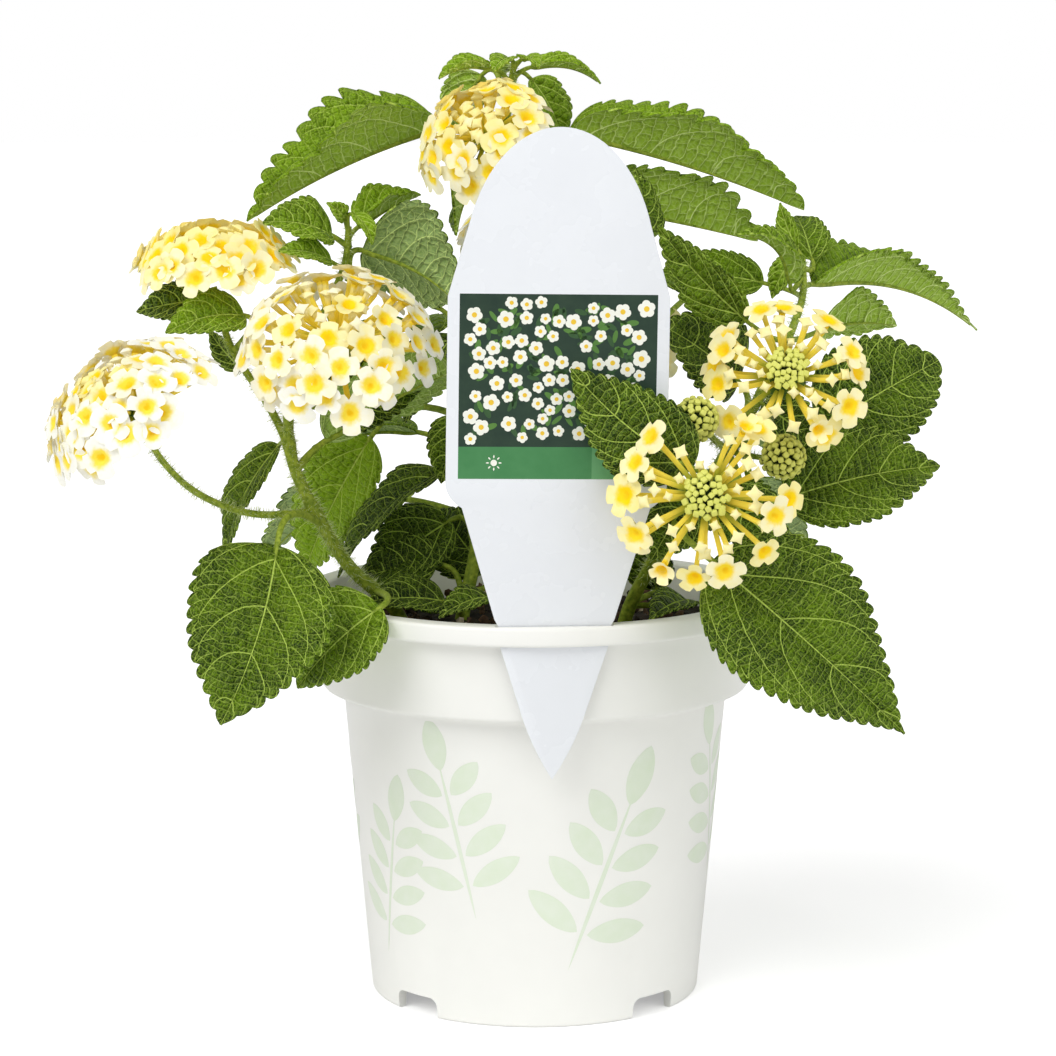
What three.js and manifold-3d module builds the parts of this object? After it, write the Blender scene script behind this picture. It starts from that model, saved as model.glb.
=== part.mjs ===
// A lantana in its nursery pot. Millimetres, +Z up. The origin is where the pot's axis meets the
// surface that the pot stands on, and -Y is the side that the plant label faces.
import * as THREE from 'three';
import { mergeVertices } from 'three/addons/utils/BufferGeometryUtils.js';
import Module from 'manifold-3d';

const wasm = await Module();
wasm.setup();

// ---- driving dimensions -------------------------------------------------------------------------

const GAP = 0.35; // air between pieces that touch
const TRIM = 0.03; // slivers that a join leaves under this size are taken out
const PAST = 1; // how far a cutter runs past the face that it opens

const POT = {
  height: 100,
  rimRadius: 57.5,
  lipHeight: 4.7,
  bandTopRadius: 53.5,
  bandFootRadius: 52.5,
  bandFoot: 76.8,
  bodyTopRadius: 47.3,
  baseRadius: 40.5,
  footRing: 2.2,
  wall: 1.5,
  recess: 3.9,
  floor: 2.1,
  facets: 28,
};
const DRAIN = {
  count: 4,
  firstAngle: 45, // degrees
  width: 13.5,
  height: 5.0,
  corner: 2.2,
  lean: 0.6,
  depth: 8,
  inset: 5, // the cutter's inner end, inside the foot of the wall
};
const SOIL = { surface: 91, edgeDrop: 1.5, rings: [36, 18], relief: 1.1, facets: 16, holeGap: 1 };
const LABEL = { turn: 4.6, tilt: 0.8, back: 54.0, thick: 0.8, top: 214.4, foot: 63.8, slotHalf: 13.7 };
const BLADE = {
  thick: 0.7,
  fullness: 0.52, // how round the base is: the power of the outline there
  widest: 0.34, // share of the length
  tipHalf: 0.45,
  fold: 16, // degrees that each half rises from the midrib
  ripple: 0.06, // share of the half width
  teeth: 5,
  toothShare: 0.055, // tooth depth as a share of the width
  toothMost: 1.5,
  toothLean: 0.35,
};
const SHOOT = { mainSides: 5, branchSides: 4, stepsPerPoint: 1.3, beads: 40 };
const FLORET = {
  lobes: 4,
  notch: 0.68, // share of the mouth's radius
  lift: 0.4,
  throat: 0.9,
  neckShare: 0.16,
  neckRadius: 0.35,
  neckDrop: 0.28, // share of the mouth's radius
};
const BUD = { sides: 4, shoulder: 0.8 };
const STALK = {
  foot: 1.0,
  head: 0.6,
  steps: 3,
  bend: 0.45, // share of the way from the stem
  section: [[-0.87, 0.5], [0, 1], [0.87, 0.5], [0.87, -0.5], [0, -1], [-0.87, -0.5]],
};

// What a flower head is made of. Each ring of shapes lies between two angles from the head's axis, in
// degrees, and its roots and crowns are at shares of the way from the head's centre to its dome.
const HEAD = {
  jitter: 0.07,
  open: { core: 0.55, root: 0.3, mouth: 5.7, between: [4, 104] },
  young: { core: 0.42, root: 0.25, mouth: 4.6, between: [58, 96] },
  starBuds: { count: 8, root: 0.2, crown: 0.9, radius: 1.9, between: [26, 56] },
  smallBuds: { count: 6, root: 0.2, crown: 0.7, radius: 1.5, between: [0, 26] },
  inBud: { core: 0.75, root: 0.3, crown: 1, radius: 1.2, between: [0, 110] },
};

// ---- colours ------------------------------------------------------------------------------------

const COLOUR = {
  pot: 0xebebe9,
  soil: 0x3a2a1e,
  label: 0xebeef2,
  stem: 0x7a9a34,
  leaf: 0x3f6f1e,
  freshLeaf: 0x78a01e,
  white: 0xfff6d8,
  yellow: 0xfbe27a,
  bud: 0xc3cc62,
};

function material(colour, roughness) {
  return new THREE.MeshStandardMaterial({ color: colour, roughness, metalness: 0 });
}

// ---- solids -------------------------------------------------------------------------------------

const at = (x, y, z) => new THREE.Vector3(x, y, z);

function signedVolume(geometry) {
  const position = geometry.getAttribute('position');
  const corners = [at(0, 0, 0), at(0, 0, 0), at(0, 0, 0)];
  let six = 0;
  for (let i = 0; i < geometry.index.count; i += 3) {
    corners.forEach((corner, k) => corner.fromBufferAttribute(position, geometry.index.getX(i + k)));
    six += corners[0].dot(corners[1].clone().cross(corners[2]));
  }
  return six / 6;
}

// A closed triangle mesh becomes a solid, turned the right way out.
function solid(geometry) {
  const bare = geometry.clone();
  bare.deleteAttribute('normal');
  bare.deleteAttribute('uv');
  const merged = mergeVertices(bare, 1e-4);
  const triVerts = new Uint32Array(merged.index.array);
  if (signedVolume(merged) < 0) triVerts.reverse();
  const vertProperties = new Float32Array(merged.getAttribute('position').array);
  return new wasm.Manifold(new wasm.Mesh({ numProp: 3, vertProperties, triVerts }));
}

const fuse = (solids) => solids.reduce((whole, piece) => whole.add(piece));

// The biggest body of a cut solid: what a cut leaves on its far side is dropped.
function mainBody(cut) {
  const bodies = cut.decompose();
  return bodies.reduce((best, body) => (body.volume() > best.volume() ? body : best));
}

function geometryOf(body) {
  const mesh = body.simplify(TRIM).getMesh();
  const geometry = new THREE.BufferGeometry();
  geometry.setAttribute('position', new THREE.BufferAttribute(new Float32Array(mesh.vertProperties), 3));
  geometry.setIndex(new THREE.BufferAttribute(new Uint32Array(mesh.triVerts), 1));
  geometry.computeVertexNormals();
  return geometry;
}

function facets(points, index) {
  const geometry = new THREE.BufferGeometry();
  const numbers = points.flatMap((point) => point.toArray());
  geometry.setAttribute('position', new THREE.Float32BufferAttribute(numbers, 3));
  geometry.setIndex(index);
  return solid(geometry);
}

// Skin over a row of rings with the same number of points, closed by a fan at both ends. A face whose
// number is in `mirrored` is split along its other diagonal.
function loft(rings, mirrored = []) {
  const count = rings[0].length;
  const index = [];
  for (let i = 0; i + 1 < rings.length; i += 1) {
    for (let j = 0; j < count; j += 1) {
      const a = i * count + j;
      const b = i * count + ((j + 1) % count);
      const c = b + count;
      const d = a + count;
      if (mirrored.includes(j)) index.push(a, b, d, b, c, d);
      else index.push(a, b, c, a, c, d);
    }
  }
  const last = (rings.length - 1) * count;
  for (let j = 1; j + 1 < count; j += 1) {
    index.push(0, j + 1, j);
    index.push(last, last + j, last + j + 1);
  }
  return facets(rings.flat(), index);
}

// A round rod along a curve, with a radius that runs evenly from one end to the other.
function rod(curve, startRadius, endRadius, sides, steps) {
  const frames = curve.computeFrenetFrames(steps);
  const rings = [];
  for (let i = 0; i <= steps; i += 1) {
    const centre = curve.getPointAt(i / steps);
    const radius = THREE.MathUtils.lerp(startRadius, endRadius, i / steps);
    const ring = [];
    for (let k = 0; k < sides; k += 1) {
      const angle = (2 * Math.PI * k) / sides;
      const spoke = frames.normals[i].clone().multiplyScalar(Math.cos(angle) * radius);
      spoke.addScaledVector(frames.binormals[i], Math.sin(angle) * radius);
      ring.push(centre.clone().add(spoke));
    }
    rings.push(ring);
  }
  return loft(rings);
}

// The same draw every time for the same seed.
function drawer(seed) {
  let state = seed;
  return () => {
    state = (state * 16807) % 2147483647;
    return state / 2147483647;
  };
}

function turned(profile, sides) {
  const lathe = new THREE.LatheGeometry(profile.map(([r, z]) => new THREE.Vector2(r, z)), sides);
  return lathe.rotateX(Math.PI / 2);
}

// ---- pot ----------------------------------------------------------------------------------------

const bodyRadius = (z) => THREE.MathUtils.mapLinear(z, 0, POT.bandFoot, POT.baseRadius, POT.bodyTopRadius);
const lipFoot = POT.height - POT.lipHeight;
const floorTop = POT.recess + POT.floor;

function drainNotch(angle) {
  const { width, height, corner, lean, depth } = DRAIN;
  const half = width / 2;
  const outline = new THREE.Shape();
  outline.moveTo(-half, -PAST);
  outline.lineTo(half, -PAST);
  outline.lineTo(half - lean, height - corner);
  outline.absarc(half - lean - corner, height - corner, corner, 0, Math.PI / 2, false);
  outline.absarc(-half + lean + corner, height - corner, corner, Math.PI / 2, Math.PI, false);
  outline.closePath();
  const bar = new THREE.ExtrudeGeometry(outline, { depth, bevelEnabled: false, curveSegments: 2 });
  bar.rotateX(Math.PI / 2);
  bar.translate(0, -(POT.baseRadius - DRAIN.inset), 0);
  bar.rotateZ(THREE.MathUtils.degToRad(angle));
  return solid(bar);
}

function inLabelPlane(geometry) {
  geometry.rotateX(Math.PI / 2);
  geometry.translate(0, -LABEL.back, 0);
  geometry.rotateZ(THREE.MathUtils.degToRad(LABEL.turn));
  return geometry;
}

function labelSlot() {
  const slot = new THREE.BoxGeometry(2 * LABEL.slotHalf, POT.lipHeight + 2 * PAST, LABEL.thick + 2 * GAP);
  slot.translate(0, POT.height - POT.lipHeight / 2, LABEL.thick / 2);
  return solid(inLabelPlane(slot));
}

function makePot() {
  const inner = (z) => bodyRadius(z) - POT.wall;
  const outerWall = [
    [POT.baseRadius, 0],
    [bodyRadius(POT.bandFoot - 1), POT.bandFoot - 1],
    [POT.bandFootRadius, POT.bandFoot],
    [POT.bandTopRadius, lipFoot],
    [POT.rimRadius, lipFoot],
    [POT.rimRadius, POT.height - 1],
    [POT.rimRadius - 1, POT.height],
  ];
  const innerWall = [
    [POT.bandTopRadius - POT.wall, POT.height],
    [POT.bandFootRadius - POT.wall, POT.bandFoot + POT.wall],
    [inner(POT.bandFoot), POT.bandFoot + POT.wall - 1],
    [inner(floorTop), floorTop],
    [0, floorTop],
  ];
  const underside = [
    [0, POT.recess],
    [POT.baseRadius - POT.footRing, POT.recess],
    [POT.baseRadius - POT.footRing, 0],
  ];
  let pot = solid(turned([...underside, ...outerWall, ...innerWall, [0, POT.recess]], POT.facets));
  for (let k = 0; k < DRAIN.count; k += 1) {
    pot = pot.subtract(drainNotch(DRAIN.firstAngle + (k * 360) / DRAIN.count));
  }
  return mainBody(pot.subtract(labelSlot()));
}

// ---- label --------------------------------------------------------------------------------------

function makeLabel() {
  const outline = new THREE.Shape();
  outline.moveTo(0, LABEL.foot);
  outline.quadraticCurveTo(4.6, 71, 6.9, 77.7);
  outline.lineTo(12.5, 95);
  outline.lineTo(12.7, 99.3);
  outline.lineTo(13.9, 101.5);
  outline.lineTo(21.7, 127.4);
  outline.quadraticCurveTo(25.3, 129.6, 25.5, 133);
  outline.lineTo(25.4, 176);
  outline.lineTo(20.8, 192);
  outline.bezierCurveTo(17.5, 206, 9, LABEL.top, 0, LABEL.top);
  outline.bezierCurveTo(-9, LABEL.top, -17.5, 206, -20.8, 192);
  outline.lineTo(-25.4, 176);
  outline.lineTo(-25.5, 133);
  outline.quadraticCurveTo(-25.3, 129.6, -21.7, 127.4);
  outline.lineTo(-13.9, 101.5);
  outline.lineTo(-12.7, 99.3);
  outline.lineTo(-12.5, 95);
  outline.lineTo(-6.9, 77.7);
  outline.quadraticCurveTo(-4.6, 71, 0, LABEL.foot);
  const sheet = { depth: LABEL.thick, bevelEnabled: false, curveSegments: 7 };
  const plate = new THREE.ExtrudeGeometry(outline, sheet);
  plate.translate(0, -POT.height, 0);
  plate.rotateZ(THREE.MathUtils.degToRad(-LABEL.tilt));
  plate.translate(0, POT.height, 0);
  return solid(inLabelPlane(plate));
}

// ---- stems --------------------------------------------------------------------------------------

// Each run is a woody or green shoot: its points, its radius at the start and at the end. The first run
// of a stem starts in the soil, and the later ones start inside an earlier one.
const STEMS = {
  left: [
    {
      through: [
        at(-30, -5, 79), at(-33, -8, 94), at(-45, -16, 108), at(-51, -22, 119), at(-57, -24, 132),
        at(-59, -22, 140),
      ],
      radii: [2.1, 1.6],
    },
    {
      through: [
        at(-59, -22, 139), at(-58, -16, 150), at(-52, -6, 166), at(-46, -4, 180), at(-45, -4, 189),
      ],
      radii: [1.4, 0.9],
    },
    {
      through: [
        at(-59, -22, 139), at(-64, -20, 148), at(-73, -14, 161), at(-77, -12, 175),
      ],
      radii: [1.2, 0.9],
    },
    {
      through: [
        at(-59, -22, 139), at(-58, -28, 149), at(-51, -33, 155), at(-46, -34, 162),
      ],
      radii: [1.2, 0.9],
    },
    {
      through: [
        at(-53, -23, 122), at(-67, -32, 124), at(-79, -39, 130), at(-87, -44, 138),
        at(-93, -48, 148),
      ],
      radii: [1.1, 0.8],
    },
  ],
  centre: [
    {
      through: [
        at(-19, 2, 79), at(-18, 2, 92), at(-15, 4, 106), at(-12, 6, 126), at(-9, 8, 160),
        at(-7, 7, 198),
      ],
      radii: [2.2, 1.5],
    },
    { through: [at(-7, 7, 197), at(-7, 5, 212), at(-6, 4, 222), at(-5, 3, 228)], radii: [1.4, 0.9] },
    { through: [at(-7, 7, 197), at(-9, -1, 205), at(-12, -7, 212)], radii: [1.1, 0.8] },
  ],
  right: [
    {
      through: [
        at(22, -2, 79), at(22, -4, 92), at(29, -12, 109), at(37, -22, 124), at(46, -24, 137),
        at(55, -20, 152),
      ],
      radii: [2.1, 1.4],
    },
    { through: [at(54.5, -20.4, 151), at(62, -10, 165), at(65, -3, 173), at(65, 0, 181)], radii: [1.4, 0.9] },
    { through: [at(46, -24, 137), at(53, -33, 144), at(57, -40, 153)], radii: [1.1, 0.8] },
    { through: [at(37, -22, 124), at(40, -38, 123), at(39, -54, 128), at(38, -66, 132)], radii: [1.1, 0.8] },
    { through: [at(46, -24, 137), at(42, -36, 141), at(37, -47, 147)], radii: [0.9, 0.7] },
    { through: [at(46, -24, 137), at(53, -29, 136), at(58, -36, 137)], radii: [0.9, 0.7] },
  ],
  back_left: [
    {
      through: [
        at(-8, 24, 79), at(-9, 26, 92), at(-15, 33, 112), at(-17, 38, 135), at(-14, 42, 160),
      ],
      radii: [2.0, 1.3],
    },
    { through: [at(-14, 42, 159), at(-9, 45, 170), at(-2, 48, 182)], radii: [1.1, 0.8] },
  ],
  back_right: [
    {
      through: [
        at(13, 26, 79), at(14, 28, 92), at(17, 33, 110), at(20, 36, 130), at(19, 38, 152),
      ],
      radii: [2.0, 1.3],
    },
    { through: [at(20, 36.5, 140), at(21, 43, 147), at(22, 50, 154)], radii: [1.0, 0.8] },
  ],
};

function stemRods(name, margin) {
  return STEMS[name].map(({ through, radii }, k) => {
    const curve = new THREE.CatmullRomCurve3(through);
    const sides = k === 0 ? SHOOT.mainSides : SHOOT.branchSides;
    const steps = Math.ceil(SHOOT.stepsPerPoint * through.length);
    return rod(curve, radii[0] + margin, radii[1] + margin, sides, steps);
  });
}

const allSleeves = fuse(Object.keys(STEMS).flatMap((name) => stemRods(name, GAP)));

// Beads strung along every stem: how far a point is from the nearest stem's surface.
const beads = Object.values(STEMS).flat().flatMap(({ through, radii }) => {
  const curve = new THREE.CatmullRomCurve3(through);
  return Array.from({ length: SHOOT.beads + 1 }, (_, k) => ({
    centre: curve.getPointAt(k / SHOOT.beads),
    radius: THREE.MathUtils.lerp(radii[0], radii[1], k / SHOOT.beads),
  }));
});

function clearOfStems(point) {
  return Math.min(...beads.map(({ centre, radius }) => point.distanceTo(centre) - radius));
}

// ---- leaves -------------------------------------------------------------------------------------

// Share of the full half width at a place along the midrib: round at the base, pointed at the tip.
function ovate(t, widest) {
  const taper = (BLADE.fullness * (1 - widest)) / widest;
  const shape = (s) => s ** BLADE.fullness * (1 - s) ** taper;
  return shape(t) / shape(widest);
}

function midribOf(leaf) {
  const along = leaf.tip.clone().sub(leaf.base).normalize();
  const up = leaf.faces.clone().addScaledVector(along, -leaf.faces.dot(along)).normalize();
  const side = along.cross(up);
  const crown = leaf.base.clone().lerp(leaf.tip, 0.5).addScaledVector(up, 2 * leaf.arch);
  crown.addScaledVector(side, 2 * (leaf.sweep ?? 0));
  return { curve: new THREE.QuadraticBezierCurve3(leaf.base, crown, leaf.tip), side };
}

// The six corners of a section, left to right over the top and back under it.
function section(centre, side, up, corners) {
  const place = ([across, lift]) => centre.clone().addScaledVector(side, across).addScaledVector(up, lift);
  return corners.map(place);
}

// The leaf stalk leaves the stem and meets the midrib end on. A fused one starts inside the stem.
function stalkRings(leaf, curve, side) {
  const reach = leaf.from.distanceTo(leaf.base);
  const bend = leaf.stalkBend ?? STALK.bend;
  const approach = leaf.base.clone().addScaledVector(curve.getTangent(0), -bend * reach);
  const leaving = leaf.from.clone().lerp(approach, 0.5);
  const path = new THREE.CubicBezierCurve3(leaf.from, leaving, approach, leaf.base);
  const rings = [];
  let start = 0;
  while (!leaf.fused && clearOfStems(path.getPoint(start)) < GAP + STALK.foot) start += 0.01;
  for (let i = 0; i <= STALK.steps; i += 1) {
    const t = THREE.MathUtils.lerp(start, 1, i / STALK.steps);
    const tangent = path.getTangent(t);
    const across = side.clone().addScaledVector(tangent, -side.dot(tangent)).normalize();
    const up = across.clone().cross(tangent);
    const r = THREE.MathUtils.lerp(STALK.foot, STALK.head, t);
    rings.push(section(path.getPoint(t), across, up, STALK.section.map(([x, y]) => [x * r, y * r])));
  }
  return rings;
}

// The blade is folded up along its midrib and its edge is toothed: each odd row is a tooth's peak.
function bladeRings(leaf, curve, side) {
  const rows = 2 * (leaf.teeth ?? BLADE.teeth);
  const fold = THREE.MathUtils.degToRad(leaf.fold ?? BLADE.fold);
  const toothDepth = Math.min(BLADE.toothMost, leaf.width * BLADE.toothShare);
  const thick = BLADE.thick / 2 / Math.cos(fold);
  const rings = [];
  for (let i = 1; i <= rows; i += 1) {
    const t = i / rows;
    const peak = i % 2;
    const tangent = curve.getTangent(t);
    const up = side.clone().cross(tangent).normalize();
    const share = ovate(t, leaf.widest ?? BLADE.widest);
    const fullHalf = (leaf.width / 2) * share;
    const half = Math.max(BLADE.tipHalf, fullHalf - (1 - peak) * toothDepth * share);
    const ripple = BLADE.ripple * fullHalf * Math.sin(4 * Math.PI * t + leaf.width);
    const across = half * Math.cos(fold);
    const lift = half * Math.sin(fold) + ripple;
    const corners = [
      [-across, lift + thick], [0, thick], [across, lift + thick],
      [across, lift - thick], [0, -thick], [-across, lift - thick],
    ];
    const ring = section(curve.getPoint(t), side, up, corners);
    const forward = peak * toothDepth * BLADE.toothLean;
    [0, 2, 3, 5].forEach((corner) => ring[corner].addScaledVector(tangent, forward));
    rings.push(ring);
  }
  return rings;
}

// Both faces of a row are split along the same diagonals, so that they stay the same distance apart.
function wholeLeaf(leaf) {
  const { curve, side } = midribOf(leaf);
  return loft([...stalkRings(leaf, curve, side), ...bladeRings(leaf, curve, side)], [1, 4]);
}

// Leaves fused to their stem: the small ones of the shoot tips, and some behind.
const FUSED_LEAVES = {
  left: [
    {
      from: at(-45, -4, 187), base: at(-44, -6, 192), tip: at(-39, -11, 185),
      faces: at(0.6, -0.6, 0.6), width: 6, arch: 1.5,
    },
    {
      from: at(-45, -4, 187), base: at(-46, -5, 191), tip: at(-50, -9, 195),
      faces: at(-0.2, -0.8, 0.5), width: 5, arch: 1,
    },
    {
      from: at(-46, -4, 179), base: at(-49, -10, 181), tip: at(-61, -18, 184),
      faces: at(-0.1, -0.7, 0.7), width: 9, arch: 1.5,
    },
  ],
  centre: [
    {
      from: at(-5, 3, 227), base: at(-6, 0, 229), tip: at(-10, -7, 226),
      faces: at(-0.1, -0.5, 1), width: 7, arch: 1.2,
    },
    {
      from: at(-5, 3, 227), base: at(-3, 1, 229), tip: at(1, -6, 227),
      faces: at(0.2, -0.5, 1), width: 6, arch: 1.2,
    },
    {
      from: at(-5, 3, 227), base: at(-5, 6, 227.5), tip: at(-8, 17, 224.5),
      faces: at(-0.2, 0.2, 1), width: 7, arch: 1,
    },
    {
      from: at(-18, 2, 96), base: at(-11, -14, 100), tip: at(-23, -26, 97),
      faces: at(0, -0.5, 0.85), width: 10, arch: 1.5,
    },
    {
      from: at(-9, 8, 174), base: at(6, 22, 180), tip: at(28, 46, 178),
      faces: at(0.1, 0.3, 1), width: 18, arch: 4, teeth: 4,
    },
  ],
  right: [
    {
      from: at(65, 0, 180), base: at(63, 3, 181), tip: at(58, 4, 171),
      faces: at(-0.4, -0.9, 0.3), width: 7, arch: 1.5,
    },
    {
      from: at(65, 0, 180), base: at(64, 3, 183), tip: at(60, 8, 194),
      faces: at(-0.5, -0.8, 0.1), width: 6, arch: 1,
    },
    {
      from: at(23, -4, 96), base: at(37, -14, 99), tip: at(27, -34, 98),
      faces: at(0, -0.6, 0.8), width: 11, arch: 1.5,
    },
  ],
  back_left: [
    {
      from: at(-16, 37, 128), base: at(-30, 38, 134), tip: at(-60, 46, 124),
      faces: at(-0.2, 0.1, 1), width: 21, arch: 4, teeth: 4,
    },
    {
      from: at(-14, 42, 157), base: at(-24, 44, 165), tip: at(-52, 50, 168),
      faces: at(-0.1, 0.3, 1), width: 18, arch: 4, teeth: 4,
    },
  ],
  back_right: [
    {
      from: at(19, 36, 126), base: at(32, 34, 134), tip: at(62, 38, 128),
      faces: at(0.2, 0.1, 1), width: 21, arch: 4, teeth: 4,
    },
  ],
};

function makeStem(name) {
  const leaves = (FUSED_LEAVES[name] ?? []).map((leaf) => wholeLeaf({ teeth: 3, ...leaf, fused: true }));
  return mainBody(fuse([...stemRods(name, 0), ...leaves]));
}

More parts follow.
